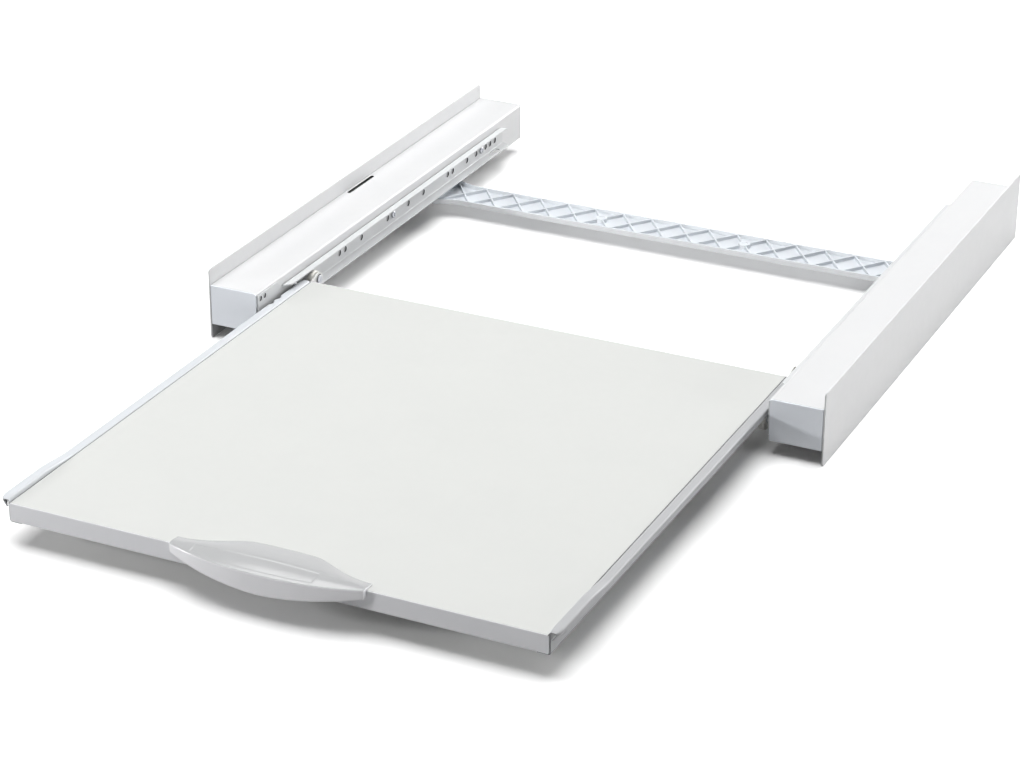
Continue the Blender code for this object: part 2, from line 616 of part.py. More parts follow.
def roller_profile(radius, width):
    """Closed section of a roller with a bore, and a recess at its far side for the pin's head."""
    bore = PIN_RADIUS + GAP
    recess = PIN_HEAD_RADIUS + GAP
    half = width / 2
    return [(bore, -half), (radius - ROLLER_CHAMFER, -half), (radius, ROLLER_CHAMFER - half),
            (radius, half - ROLLER_CHAMFER), (radius - ROLLER_CHAMFER, half), (recess, half),
            (recess, half - HEAD_RECESS), (bore, half - HEAD_RECESS)]


def roller(name, radius, width, centre, recess_side, materials, holder=None):
    """Nylon roller with its origin on its axis."""
    profile = [(r, recess_side * along) for r, along in roller_profile(radius, width)]
    bm = bmesh.new()
    add_turned(bm, profile, "X", (0, 0, 0), ROUND_SIDES)
    return smooth(place(bm, name, materials["nylon"], holder, centre))


def front_roller(name, side, materials):
    """Roller at the front of the rail, under the drawer runner's upper flange."""
    centre = (side * (FRONT_ROLLER_X + FRONT_ROLLER_WIDTH / 2), FRONT_ROLLER_Y, FRONT_ROLLER_Z)
    roller(name + "_front_roller", FRONT_ROLLER_RADIUS, FRONT_ROLLER_WIDTH, centre, -side, materials)


def front_roller_pin(name, side, materials):
    """Shouldered rivet from the fixed runner's web into the front roller."""
    head = FRONT_ROLLER_X + HEAD_RECESS - GAP
    shoulder = FRONT_ROLLER_X + FRONT_ROLLER_WIDTH + GAP
    profile = [(0, head - PIN_HEAD_HEIGHT), (PIN_HEAD_RADIUS, head - PIN_HEAD_HEIGHT),
               (PIN_HEAD_RADIUS, head), (PIN_RADIUS, head), (PIN_RADIUS, shoulder),
               (PIN_SHOULDER_RADIUS, shoulder), (PIN_SHOULDER_RADIUS, FIXED_WEB_X - GAP),
               (PIN_RADIUS, FIXED_WEB_X - GAP), (PIN_RADIUS, FIXED_WEB_OUTER_X), (0, FIXED_WEB_OUTER_X)]
    bm = bmesh.new()
    add_turned(bm, [(r, side * x) for r, x in profile], "X", (0, FRONT_ROLLER_Y, FRONT_ROLLER_Z),
               SCREW_SIDES)
    smooth(place(bm, name + "_front_roller_pin", materials["zinc"]))


def rear_roller(name, side, holder, materials):
    """Roller behind the shelf, which runs inside the fixed runner."""
    centre = (side * (REAR_ROLLER_X + REAR_ROLLER_WIDTH / 2), REAR_ROLLER_Y, REAR_ROLLER_Z)
    roller(name + "_rear_roller", REAR_ROLLER_RADIUS, REAR_ROLLER_WIDTH, centre, side, materials, holder)


def rear_roller_pin(name, side, holder, materials):
    """Rivet through the ear of the drawer runner, with a head on both ends."""
    outer_head = REAR_ROLLER_X + REAR_ROLLER_WIDTH - HEAD_RECESS + GAP
    inner_head = DRAWER_WEB_INNER_X - GAP
    profile = [(0, inner_head - PIN_HEAD_HEIGHT), (PIN_HEAD_RADIUS, inner_head - PIN_HEAD_HEIGHT),
               (PIN_HEAD_RADIUS, inner_head), (PIN_RADIUS, inner_head), (PIN_RADIUS, DRAWER_WEB_X + GAP),
               (PIN_SHOULDER_RADIUS, DRAWER_WEB_X + GAP), (PIN_SHOULDER_RADIUS, REAR_ROLLER_X - GAP),
               (PIN_RADIUS, REAR_ROLLER_X - GAP), (PIN_RADIUS, outer_head),
               (PIN_HEAD_RADIUS, outer_head), (PIN_HEAD_RADIUS, outer_head + PIN_HEAD_HEIGHT),
               (0, outer_head + PIN_HEAD_HEIGHT)]
    bm = bmesh.new()
    add_turned(bm, [(r, side * x) for r, x in profile], "X", (0, REAR_ROLLER_Y, REAR_ROLLER_Z), SCREW_SIDES)
    smooth(place(bm, name + "_rear_roller_pin", materials["zinc"], holder))


# Runners on the shelf

def drawer_section(side, y, rise):
    """Section of the drawer runner, with its upper flange and lip lifted by rise."""
    flange = SHELF_TOP + rise
    top = flange + RUNNER_SHEET
    lip_foot = flange - DRAWER_LIP_HEIGHT
    lip_inner = DRAWER_LIP_X - RUNNER_SHEET
    points = [(DRAWER_FOOT_X, DRAWER_BASE), (DRAWER_WEB_X, DRAWER_BASE), (DRAWER_WEB_X, flange),
              (lip_inner, flange), (lip_inner, lip_foot), (DRAWER_LIP_X, lip_foot), (DRAWER_LIP_X, top),
              (DRAWER_WEB_INNER_X, top), (DRAWER_WEB_INNER_X, DRAWER_BASE + RUNNER_SHEET),
              (DRAWER_FOOT_X, DRAWER_BASE + RUNNER_SHEET)]
    return [(side * x, y, z) for x, z in points]


def trim_drawer_runner(bm, side):
    """Cuts that leave only the web behind the shelf."""
    start = SHELF_REAR_Y - DRAWER_FLANGE_STOP
    behind = REAR_ROLLER_Y + OVERRUN
    heights = (DRAWER_BASE - OVERRUN, SHELF_TOP + RUNNER_SHEET + OVERRUN)
    add_box(bm, span(side, DRAWER_WEB_X, DRAWER_LIP_X + OVERRUN), (start, behind), heights)
    add_box(bm, span(side, DRAWER_FOOT_X - OVERRUN, DRAWER_WEB_INNER_X), (start, behind), heights)


def taper_web(bm, side):
    """Slanted cut under the web, from the shelf's rear edge up to the round ear."""
    low, high = span(side, DRAWER_WEB_INNER_X - OVERRUN, DRAWER_WEB_X + OVERRUN)
    foot = DRAWER_BASE - OVERRUN
    behind = REAR_ROLLER_Y + OVERRUN
    ear_foot = REAR_ROLLER_Z - EAR_RADIUS + GAP
    add_prism(bm, [(SHELF_REAR_Y, foot), (SHELF_REAR_Y, DRAWER_BASE), (REAR_ROLLER_Y, ear_foot),
                   (behind, ear_foot), (behind, foot)], "X", low, high)


def round_ear(bm, side):
    """Round end of the web, which carries the rear roller's pin."""
    low, high = span(side, DRAWER_WEB_INNER_X, DRAWER_WEB_X)
    add_cylinder(bm, EAR_RADIUS, "X", (REAR_ROLLER_Y, REAR_ROLLER_Z), low, high, ROUND_SIDES)


def shelf_screw_places():
    inset = SHELF_DEPTH * SHELF_SCREW_END_SHARE
    front = SHELF_FRONT_Y + inset
    rear = SHELF_REAR_Y - inset
    return [front, (front + rear) / 2, rear]


def drawer_runner_holes(bm, side):
    """Notches in the upper flange, the pin's hole and the countersunk screw holes."""
    for number in range(NOTCH_COUNT):
        centre = (side * (DRAWER_LIP_X + NOTCH_RADIUS - NOTCH_DEPTH),
                  SHELF_REAR_Y - NOTCH_START + NOTCH_PITCH * number)
        low = SHELF_TOP - DRAWER_LIP_HEIGHT - OVERRUN
        add_cylinder(bm, NOTCH_RADIUS, "Z", centre, low, SHELF_TOP + RUNNER_SHEET + OVERRUN)
    low, high = span(side, DRAWER_WEB_INNER_X - OVERRUN, DRAWER_WEB_X + OVERRUN)
    add_cylinder(bm, PIN_RADIUS + GAP, "X", (REAR_ROLLER_Y, REAR_ROLLER_Z), low, high)
    for y in shelf_screw_places():
        add_countersink(bm, side * SHELF_SCREW_X, y)


def add_countersink(bm, x, y):
    """Cone that widens downwards, its wall a gap away from the screw's head."""
    flare = (SCREW_HEAD_RADIUS - SCREW_RADIUS) / (RUNNER_SHEET + GAP)
    below = DRAWER_BASE - GAP
    above = DRAWER_BASE + RUNNER_SHEET + GAP
    wide = SCREW_HEAD_RADIUS + GAP + flare * GAP
    narrow = SCREW_RADIUS + GAP
    cone = bmesh.new()
    bmesh.ops.create_cone(cone, cap_ends=True, segments=HOLE_SIDES, radius1=wide, radius2=narrow,
                          depth=above - below)
    bmesh.ops.translate(cone, verts=cone.verts, vec=(x, y, (below + above) / 2))
    copy = bpy.data.meshes.new("countersink")
    cone.to_mesh(copy)
    cone.free()
    bm.from_mesh(copy)
    bpy.data.meshes.remove(copy)


def drawer_runner(name, side, holder, materials):
    """Epoxy-coated runner under the shelf's side, whose upper flange rides on the front roller."""
    rise_end = DRAWER_FRONT_Y + DRAWER_RISE_LENGTH
    stations = [(DRAWER_FRONT_Y, DRAWER_RISE), (rise_end, DRAWER_RISE),
                (rise_end + DRAWER_RAMP_LENGTH, 0), (REAR_ROLLER_Y, 0)]
    bm = bmesh.new()
    add_loft(bm, [drawer_section(side, y, rise) for y, rise in stations])
    obj = place(bm, name + "_drawer_runner", materials["epoxy"], holder)
    for shape, apply in ((trim_drawer_runner, cut), (taper_web, cut), (round_ear, unite),
                         (drawer_runner_holes, cut)):
        tool = bmesh.new()
        shape(tool, side)
        apply(obj, tool)
    return obj


def shelf_screws(name, side, holder, materials):
    """Countersunk screws from below, through the drawer runner into the board."""
    head_top = DRAWER_BASE + RUNNER_SHEET + GAP
    tip = DRAWER_BASE + SCREW_LENGTH
    profile = [(0, DRAWER_BASE), (SCREW_HEAD_RADIUS, DRAWER_BASE), (SCREW_RADIUS, head_top),
               (SCREW_RADIUS, tip - SCREW_TIP), (0, tip)]
    for number, y in enumerate(shelf_screw_places(), 1):
        bm = bmesh.new()
        add_turned(bm, profile, "Z", (side * SHELF_SCREW_X, y, 0), SCREW_SIDES)
        smooth(place(bm, f"{name}_shelf_screw_{number}", materials["zinc"], holder))


# Crossbar between the rails

def flare_points():
    """Widening of the crossbar against the distance from its end, as a smooth quarter wave."""
    points = []
    for step in range(FLARE_STEPS + 1):
        share = step / FLARE_STEPS
        points.append((FLARE_LENGTH * share, FLARE_WIDTH * (1 - math.sin(share * math.pi / 2))))
    return points


def crossbar_outline(inset):
    """Plan of the crossbar with flared ends, drawn in by inset all round."""
    end = CHANNEL_X - GAP - inset
    rear = []
    for distance, extra in flare_points():
        if distance > inset:
            rear.append((end + inset - distance, CROSSBAR_REAR_Y - inset + extra))
        if distance == 0:
            rear.append((end, CROSSBAR_REAR_Y - inset + extra))
    plan = rear + [(-x, y) for x, y in reversed(rear)]
    return plan + [(x, 2 * CROSSBAR_MID_Y - y) for x, y in reversed(plan)]


def rib_frame():
    """Half length of the ribbed stretch, its cell pitch, and its rear and front edges."""
    half = CHANNEL_X - GAP - CROSSBAR_WALL
    rear = CROSSBAR_REAR_Y - CROSSBAR_WALL
    return half, 2 * half / CROSSBAR_CELLS, rear, 2 * CROSSBAR_MID_Y - rear


def add_pocket(bm, corners):
    """Pocket between ribs, its sides drawn in by half a rib, from the floor up."""
    middle = sum((Vector(corner) for corner in corners), Vector((0, 0))) / len(corners)
    lines = []
    for index, corner in enumerate(corners):
        start = Vector(corner)
        along = (Vector(corners[(index + 1) % len(corners)]) - start).normalized()
        inward = Vector((-along.y, along.x))
        if inward.dot(middle - start) < 0:
            inward = -inward
        lines.append((start + inward * RIB_THICKNESS / 2, along))
    outline = [crossing(lines[index - 1], lines[index]) for index in range(len(lines))]
    add_prism(bm, outline, "Z", CROSSBAR_BASE + CROSSBAR_FLOOR, CROSSBAR_TOP)


def crossing(first, second):
    """Point where two lines, each a point and a direction, cross."""
    (start, along), (other, across) = first, second
    turn = along.x * across.y - along.y * across.x
    apart = other - start
    return tuple(start + along * (apart.x * across.y - apart.y * across.x) / turn)


def rib_pockets(bm):
    """Pockets that leave a crossed pair of ribs in each cell."""
    half, pitch, rear, front = rib_frame()
    edge = RIB_THICKNESS / 2
    for cell in range(CROSSBAR_CELLS):
        left = -half + pitch * cell
        middle = (left + pitch / 2, CROSSBAR_MID_Y)
        add_pocket(bm, [(left, rear + edge), (left + pitch, rear + edge), middle])
        add_pocket(bm, [(left, front - edge), (left + pitch, front - edge), middle])
        if cell > 0:
            before = (left - pitch / 2, CROSSBAR_MID_Y)
            add_pocket(bm, [(left, rear + edge), middle, (left, front - edge), before])
    for end in (-1, 1):
        inner = (end * (half - pitch / 2), CROSSBAR_MID_Y)
        outer = end * (half + edge)
        add_pocket(bm, [(outer, rear + edge), (outer, front - edge), inner])


def crossbar_additions(bm):
    """Round bosses on two of the crossings, and the tongues at both ends."""
    half, pitch, _, _ = rib_frame()
    for cell in BOSS_CELLS:
        centre = (-half + pitch * (cell + 0.5), CROSSBAR_MID_Y)
        add_cylinder(bm, BOSS_RADIUS, "Z", centre, CROSSBAR_BASE + CROSSBAR_FLOOR / 2, CROSSBAR_TOP)
    base = CROSSBAR_BASE + TONGUE_LIFT
    for side in (-1, 1):
        add_box(bm, span(side, CHANNEL_X - GAP - CROSSBAR_WALL / 2, CHANNEL_X + TONGUE_LENGTH),
                (CROSSBAR_MID_Y - TONGUE_WIDTH / 2, CROSSBAR_MID_Y + TONGUE_WIDTH / 2),
                (base, base + TONGUE_HEIGHT))


def crossbar(materials):
    """Moulded tray with crossed ribs, plugged into both rails."""
    bm = bmesh.new()
    add_prism(bm, crossbar_outline(0), "Z", CROSSBAR_BASE, CROSSBAR_TOP)
    obj = place(bm, "crossbar", materials["crossbar"])
    recess = bmesh.new()
    add_prism(recess, crossbar_outline(CROSSBAR_WALL), "Z", CROSSBAR_TOP - RIB_DROP,
              CROSSBAR_TOP + OVERRUN)
    cut(obj, recess)
    pockets = bmesh.new()
    rib_pockets(pockets)
    cut(obj, pockets)
    additions = bmesh.new()
    crossbar_additions(additions)
    return unite(obj, additions)


# Shelf

def shelf_board(holder, materials):
    """White chipboard core, with pilot holes for the screws."""
    edge = SHELF_BAND + GAP
    bm = bmesh.new()
    add_box(bm, (edge - SHELF_X, SHELF_X - edge), (SHELF_FRONT_Y + edge, SHELF_REAR_Y - edge),
            (SHELF_BASE, SHELF_TOP))
    obj = place(bm, "shelf_board", materials["board"], holder)
    holes = bmesh.new()
    top = DRAWER_BASE + SCREW_LENGTH + GAP
    for _, side in SIDES:
        for y in shelf_screw_places():
            add_cylinder(holes, SCREW_RADIUS + GAP, "Z", (side * SHELF_SCREW_X, y), SHELF_BASE - OVERRUN, top)
        add_cylinder(holes, HANDLE_SCREW_RADIUS + GAP, "Z", handle_screw_place(side),
                     SHELF_BASE - OVERRUN, SHELF_TOP + OVERRUN)
    return cut(obj, holes)


def edge_band(name, x, y, holder, materials):
    bm = bmesh.new()
    add_box(bm, x, y, (SHELF_BASE, SHELF_TOP))
    place(bm, name, materials["band"], holder)


def edge_bands(holder, materials):
    """Bands glued on the board's four edges, the front and rear ones running past the others."""
    full = (-SHELF_X, SHELF_X)
    edge_band("shelf_front_band", full, (SHELF_FRONT_Y, SHELF_FRONT_Y + SHELF_BAND), holder, materials)
    edge_band("shelf_rear_band", full, (SHELF_REAR_Y - SHELF_BAND, SHELF_REAR_Y), holder, materials)
    short = (SHELF_FRONT_Y + SHELF_BAND + GAP, SHELF_REAR_Y - SHELF_BAND - GAP)
    for name, side in SIDES:
        edge_band(f"shelf_{name}_band", span(side, SHELF_X - SHELF_BAND, SHELF_X), short, holder, materials)


# Handle

def handle_screw_place(side):
    return side * HANDLE_SCREW_SPACING / 2, SHELF_FRONT_Y + HANDLE_SCREW_SETBACK


def handle_overlap(share):
    """How far the handle lies on the shelf at a share of its half width."""
    turn = (share - HANDLE_SHOULDER_SHARE) / (HANDLE_NECK_SHARE - HANDLE_SHOULDER_SHARE)
    turn = min(max(turn, 0), 1)
    return HANDLE_OVERLAP - (HANDLE_OVERLAP - HANDLE_END_OVERLAP) * math.sin(turn * math.pi / 2)


def blend(share, power, middle, end):
    """Value that goes from middle to end as a power of the share of the half width."""
    return middle + (end - middle) * share ** power


def handle_section(x):
    """Section of the handle across the shelf's front edge, at one place along it."""
    share = abs(x) / (HANDLE_WIDTH / 2)
    bow = math.cos(share * math.pi / 2) ** HANDLE_BOW_POWER if share < 1 else 0
    front = SHELF_FRONT_Y - HANDLE_END_REACH - (HANDLE_REACH - HANDLE_END_REACH) * bow
    rear = SHELF_FRONT_Y + handle_overlap(share)
    seat = SHELF_TOP + GAP
    crest = SHELF_TOP + blend(share, 2, HANDLE_CREST, HANDLE_END_CREST)
    crest_y = SHELF_FRONT_Y + blend(share, 2, HANDLE_CREST_SETBACK, 0)
    brow = crest - HANDLE_BROW_DROP * bow
    foot = SHELF_TOP - blend(share, 4, HANDLE_APRON, HANDLE_END_APRON)
    edge = seat + HANDLE_REAR_EDGE
    points = [(rear, seat), (rear, edge), ((rear + crest_y) / 2, (edge + crest) / 2 + GAP),
              (crest_y, crest), (front + HANDLE_BROW_RADIUS, brow), (front, brow - HANDLE_BROW_RADIUS),
              (front + GAP, foot), (front + GAP + HANDLE_WALL, foot), (front + HANDLE_WALL, seat)]
    return [(x, y, z) for y, z in points]


def handle(holder, materials):
    """Moulded grip that wraps over the shelf's front edge, open to the fingers from below."""
    places = [HANDLE_WIDTH * (step / HANDLE_STATIONS - 0.5) for step in range(HANDLE_STATIONS + 1)]
    bm = bmesh.new()
    add_loft(bm, [handle_section(x) for x in places])
    obj = smooth(place(bm, "handle", materials["handle"], holder), 30.0)
    holes = bmesh.new()
    for _, side in SIDES:
        add_cylinder(holes, HANDLE_SCREW_RADIUS + GAP, "Z", handle_screw_place(side),
                     SHELF_TOP - OVERRUN, SHELF_TOP + GAP + HANDLE_SCREW_BITE)
    return cut(obj, holes)


def handle_screws(holder, materials):
    """Screws from below, through the board into the handle."""
    for name, side in SIDES:
        x, y = handle_screw_place(side)
        screw = pan_screw(f"handle_screw_{name}", HANDLE_SCREW_HEAD_RADIUS, HANDLE_SCREW_HEAD,
                          HANDLE_SCREW_RADIUS, SHELF_THICKNESS + HANDLE_SCREW_BITE, materials["zinc"], holder)
        screw.location = (x, y, SHELF_BASE - GAP)


def shelf_holder():
    """Empty at the middle of the shelf, which carries all that slides with it."""
    holder = bpy.data.objects.new("shelf_slide", None)
    bpy.context.scene.collection.objects.link(holder)
    holder.location = (0, (SHELF_FRONT_Y + SHELF_REAR_Y) / 2, (SHELF_BASE + SHELF_TOP) / 2)
    return holder


def build():
    clear_scene()
    materials = make_materials()
    holder = shelf_holder()
    crossbar(materials)
    shelf_board(holder, materials)
    edge_bands(holder, materials)
    handle(holder, materials)
    handle_screws(holder, materials)
    for name, side in SIDES:
        rail(name, side, materials)
        fixed_runner(name, side, materials)
        fixed_screws(name, side, materials)
        front_roller(name, side, materials)
        front_roller_pin(name, side, materials)
        drawer_runner(name, side, holder, materials)
        shelf_screws(name, side, holder, materials)
        rear_roller(name, side, holder, materials)
        rear_roller_pin(name, side, holder, materials)


build()
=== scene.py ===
import bmesh
import bpy
import numpy as np
from mathutils import Matrix


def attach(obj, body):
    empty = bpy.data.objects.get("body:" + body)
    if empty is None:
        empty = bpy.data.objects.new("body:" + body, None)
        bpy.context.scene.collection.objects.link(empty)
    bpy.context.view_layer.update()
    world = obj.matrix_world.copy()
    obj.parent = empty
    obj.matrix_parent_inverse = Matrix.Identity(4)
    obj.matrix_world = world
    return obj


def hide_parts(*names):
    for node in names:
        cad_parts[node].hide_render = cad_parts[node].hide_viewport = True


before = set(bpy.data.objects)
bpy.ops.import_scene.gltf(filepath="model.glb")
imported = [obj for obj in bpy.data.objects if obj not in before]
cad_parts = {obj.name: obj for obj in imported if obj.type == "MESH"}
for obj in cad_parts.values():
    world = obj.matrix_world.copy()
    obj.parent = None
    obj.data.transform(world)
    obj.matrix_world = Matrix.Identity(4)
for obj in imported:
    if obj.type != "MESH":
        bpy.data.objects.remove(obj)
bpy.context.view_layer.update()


# Camera. The lens is a long one.

CAMERA_PLACE = (0.997095, -2.133544, 1.111640)
CAMERA_TURN, CAMERA_DIP, CAMERA_ROLL = np.radians((25.5404, 25.5273, 0.1802))
SENSOR_WIDTH = 36.0
FOCAL_LENGTH = 100.80
CLIP_START, CLIP_END = 0.05, 50.0


def camera_axes(turn, dip, roll):
    """Right, up and back of a camera turned round Z, dipped below the level, then rolled."""
    right = np.array([np.cos(turn), np.sin(turn), 0.0])
    back = np.array([np.sin(turn) * np.cos(dip), -np.cos(turn) * np.cos(dip), np.sin(dip)])
    up = np.cross(back, right)
    return np.column_stack([np.cos(roll) * right + np.sin(roll) * up,
                            np.cos(roll) * up - np.sin(roll) * right, back])


def in_scene(name, data):
    """Object of some data, linked to the scene."""
    obj = bpy.data.objects.new(name, data)
    bpy.context.scene.collection.objects.link(obj)
    return obj


def put(obj, place, axes):
    """Puts an object at a place, with the columns of a 3 by 3 array as its own axes."""
    matrix = Matrix.Translation(place)
    for row, axis in enumerate(axes):
        matrix[row][:3] = axis
    obj.matrix_world = matrix


view = bpy.data.cameras.new("view_camera")
view.sensor_fit = "HORIZONTAL"
view.sensor_width = SENSOR_WIDTH
view.lens = FOCAL_LENGTH
view.clip_start, view.clip_end = CLIP_START, CLIP_END
camera = in_scene("view_camera", view)
put(camera, CAMERA_PLACE, camera_axes(CAMERA_TURN, CAMERA_DIP, CAMERA_ROLL))
bpy.context.scene.camera = camera
bpy.context.scene.view_settings.view_transform = "Standard"


# Studio. Far off it glows white, for the camera alone.

LAMPS = {                       # place, aim, size in metres and power in watts
    "overhead_softbox": ((-0.20, 0.00, 2.40), (0.0, 0.0, 0.0), 2.6, 90.0),
    "left_lamp": ((-1.25, -1.15, 0.42), (0.0, -0.3, 0.0), 0.2, 10.7),
    "right_softbox": ((2.60, -0.20, 0.40), (0.3, 0.1, 0.0), 0.7, 23.7),
    "rear_softbox": ((0.80, 3.00, 0.80), (0.0, 0.2, 0.0), 1.0, 73.0)}
ROOM_LEVEL = 0.02
FLOOR_HALF = 9.0
FLOOR_PAINT = 0.40
FLOOR_WHITE = 1.12              # the sweep is burnt out to white where nothing shades it
FLOOR_GLOW = 0.03
FAR_START, FAR_FULL = 1.3, 2.4  # from here to there the sweep goes over to plain white
STEEP = 0.9                     # a lamp that looks down more than this needs another way up


def unit(vectors):
    """Vectors drawn to length one."""
    return vectors / np.maximum(np.linalg.norm(vectors, axis=-1, keepdims=True), 1e-12)


def softbox(name, place, aim, size, watts):
    """Square area lamp at a place, turned so that it faces the point it aims at."""
    lamp = bpy.data.lights.new(name, "AREA")
    lamp.size = size
    lamp.energy = watts
    back = unit(np.subtract(place, aim))
    side = unit(np.cross((0.0, 1.0, 0.0) if abs(back[2]) > STEEP else (0.0, 0.0, 1.0), back))
    put(in_scene(name, lamp), place, np.column_stack([side, np.cross(back, side), back]))


def add_node(tree, kind, inputs=(), **settings):
    """Node of a kind with its settings, its inputs given as values or as links from sockets."""
    node = tree.nodes.new("ShaderNode" + kind)
    for key, value in settings.items():
        setattr(node, key, value)
    for key, value in dict(inputs).items():
        if isinstance(value, bpy.types.NodeSocket):
            tree.links.new(value, node.inputs[key])
        else:
            node.inputs[key].default_value = value
    return node


def calculated(tree, operation, *values):
    """Result of a Math node on values or sockets."""
    return add_node(tree, "Math", dict(enumerate(values)), operation=operation).outputs[0]


def ranged(tree, value, start, end, low=0.0, high=1.0):
    """Value carried from the range start to end over to the range low to high, and held there."""
    return add_node(tree, "MapRange", {"Value": value, "From Min": start, "From Max": end,
                                       "To Min": low, "To Max": high}).outputs[0]


def seen_directly(tree):
    """1 for a ray from the camera, or one that gloss or glass has sent on, else 0."""
    path = add_node(tree, "LightPath").outputs
    seen = calculated(tree, "MAXIMUM", path["Is Camera Ray"], path["Is Glossy Ray"])
    return calculated(tree, "MAXIMUM", seen, path["Is Transmission Ray"])


for lamp_name, (place, aim, size, watts) in LAMPS.items():
    softbox(lamp_name, place, aim, size, watts)

room = bpy.data.worlds.new("pale_room")
room.use_nodes = True
tree = room.node_tree
tree.nodes.clear()
strength = ranged(tree, seen_directly(tree), 0.0, 1.0, ROOM_LEVEL, 1.0)
room_light = add_node(tree, "Background", {"Color": (1.0, 1.0, 1.0, 1.0), "Strength": strength})
tree.links.new(room_light.outputs[0], add_node(tree, "OutputWorld").inputs["Surface"])
bpy.context.scene.world = room


def blank_material(name):
    """Material with an empty node tree but for its output, and the tree and output."""
    material = bpy.data.materials.new(name)
    material.use_nodes = True
    material.node_tree.nodes.clear()
    return material, material.node_tree, add_node(material.node_tree, "OutputMaterial")


sweep_white, tree, output = blank_material("sweep_white")
matt, burnt = (add_node(tree, "BsdfDiffuse", {"Color": (level, level, level, 1.0)})
               for level in (FLOOR_PAINT, FLOOR_WHITE))
from_middle = add_node(tree, "VectorMath", {0: add_node(tree, "TexCoord").outputs["Object"]},
                       operation="LENGTH").outputs["Value"]
by_camera = add_node(tree, "LightPath").outputs["Is Camera Ray"]
far_glow = calculated(tree, "MULTIPLY_ADD", ranged(tree, from_middle, FAR_START, FAR_FULL), by_camera,
                      FLOOR_GLOW)
glow = add_node(tree, "Emission", {"Strength": far_glow})
bright = add_node(tree, "AddShader", {0: burnt.outputs[0], 1: glow.outputs[0]})
mixed = add_node(tree, "MixShader", {0: seen_directly(tree), 1: matt.outputs[0], 2: bright.outputs[0]})
tree.links.new(mixed.outputs[0], output.inputs["Surface"])

sweep_mesh = bpy.data.meshes.new("floor_sweep")
sweep_mesh.from_pydata([(x * FLOOR_HALF, y * FLOOR_HALF, 0.0) for x, y in
                        ((-1, -1), (1, -1), (1, 1), (-1, 1))], [], [(0, 1, 2, 3)])
sweep_mesh.materials.append(sweep_white)
floor_sweep = in_scene("floor_sweep", sweep_mesh)


# Side plates. Each is a flat strip of steel sheet with clipped corners, which stands above and
# below the channel as lips for the two machines, and is powder coated white.

MM = 0.001
SIDES = (("left", -1), ("right", 1))
RAIL_FRONT, RAIL_REAR = -65.75 * MM, 499.25 * MM
RAIL_HEIGHT = 69.0 * MM
PLATE_INNER, PLATE_OUTER = 300.0 * MM, 301.5 * MM
PLATE_CORNER = 3.0 * MM
SHEET_EDGE = 0.25 * MM
JOIN_DISTANCE, HAIR = 0.004 * MM, 1e-7
CLOUD_ROUGHNESS, CLOUD_LOW, CLOUD_HIGH = 0.55, 0.3, 0.7
TONE_CLOUD, GLOSS_CLOUD, GLOSS_WANDER = 60 * MM, 9 * MM, 0.04


def cloudy(tree, size, detail=3.0):
    """Noise of about a feature a size, from 0 to 1, read at the place on the piece."""
    return add_node(tree, "TexNoise", {"Vector": add_node(tree, "TexCoord").outputs["Object"],
                                       "Scale": 1.0 / size, "Detail": detail,
                                       "Roughness": CLOUD_ROUGHNESS}).outputs[0]


def spread(tree, value, low=0.0, high=1.0):
    """Noise drawn out so that its middle range runs from low to high."""
    return ranged(tree, value, CLOUD_LOW, CLOUD_HIGH, low, high)


def tinted(tree, share, first, second):
    """Colour between two, by a share from 0 to 1."""
    return add_node(tree, "Mix", {0: share, 6: (*first, 1.0), 7: (*second, 1.0)},
                    data_type="RGBA").outputs[2]


def coated_metal(name, light, shade, roughness, peel, peel_size, sheen=0.5):
    """Paint or plastic skin: two near tones in clouds, a fine peel in its height, and a gloss
    that wanders a little from place to place."""
    material, tree, output = blank_material(name)
    tone = tinted(tree, spread(tree, cloudy(tree, TONE_CLOUD, 4.0)), light, shade)
    gloss = spread(tree, cloudy(tree, GLOSS_CLOUD), roughness - GLOSS_WANDER, roughness + GLOSS_WANDER)
    bump = add_node(tree, "Bump", {"Height": cloudy(tree, peel_size, 2.0), "Distance": peel,
                                   "Strength": 1.0})
    shader = add_node(tree, "BsdfPrincipled", {"Base Color": tone, "Roughness": gloss,
                                               "Normal": bump.outputs[0], "Specular IOR Level": sheen})
    tree.links.new(shader.outputs[0], output.inputs["Surface"])
    return material


def grid_quads(rows, columns, round_rows=False, round_columns=False):
    """Quads of a grid of points numbered row by row, joined round either way where asked."""
    row = np.arange(rows if round_rows else rows - 1)[:, None]
    column = np.arange(columns if round_columns else columns - 1)[None, :]
    below, beside = (row + 1) % rows, (column + 1) % columns
    corners = (row * columns + column, row * columns + beside,
               below * columns + beside, below * columns + column)
    return np.stack([np.broadcast_to(c, (row.size, column.size)).ravel() for c in corners], axis=1)


def rounded_outline(corners, steps=6):
    """Closed outline through corners (u, v, radius). A corner is an arc that touches both of its
    sides: its middle lies on their bisector, radius / sin(half the corner's angle) away."""
    corners = np.array(corners, float)
    here, radius = corners[:, :2], corners[:, 2]
    back = unit(np.roll(here, 1, axis=0) - here)
    ahead = unit(np.roll(here, -1, axis=0) - here)
    half = np.arccos(np.clip((back * ahead).sum(1), -1, 1)) / 2
    middle = here + unit(back + ahead) * (radius / np.sin(half))[:, None]
    arm = here + back * (radius / np.tan(half))[:, None] - middle
    turn = np.sign(back[:, 0] * ahead[:, 1] - back[:, 1] * ahead[:, 0]) * (np.pi - 2 * half)
    share = np.linspace(0, 1, steps + 1)
    parts = []
    for m, a, t, r, h in zip(middle, arm, turn, radius, here):
        if r == 0:
            parts.append(h[None])
            continue
        angle = -t * share
        parts.append(m + np.column_stack([a[0] * np.cos(angle) - a[1] * np.sin(angle),
                                          a[0] * np.sin(angle) + a[1] * np.cos(angle)]))
    return np.concatenate(parts)


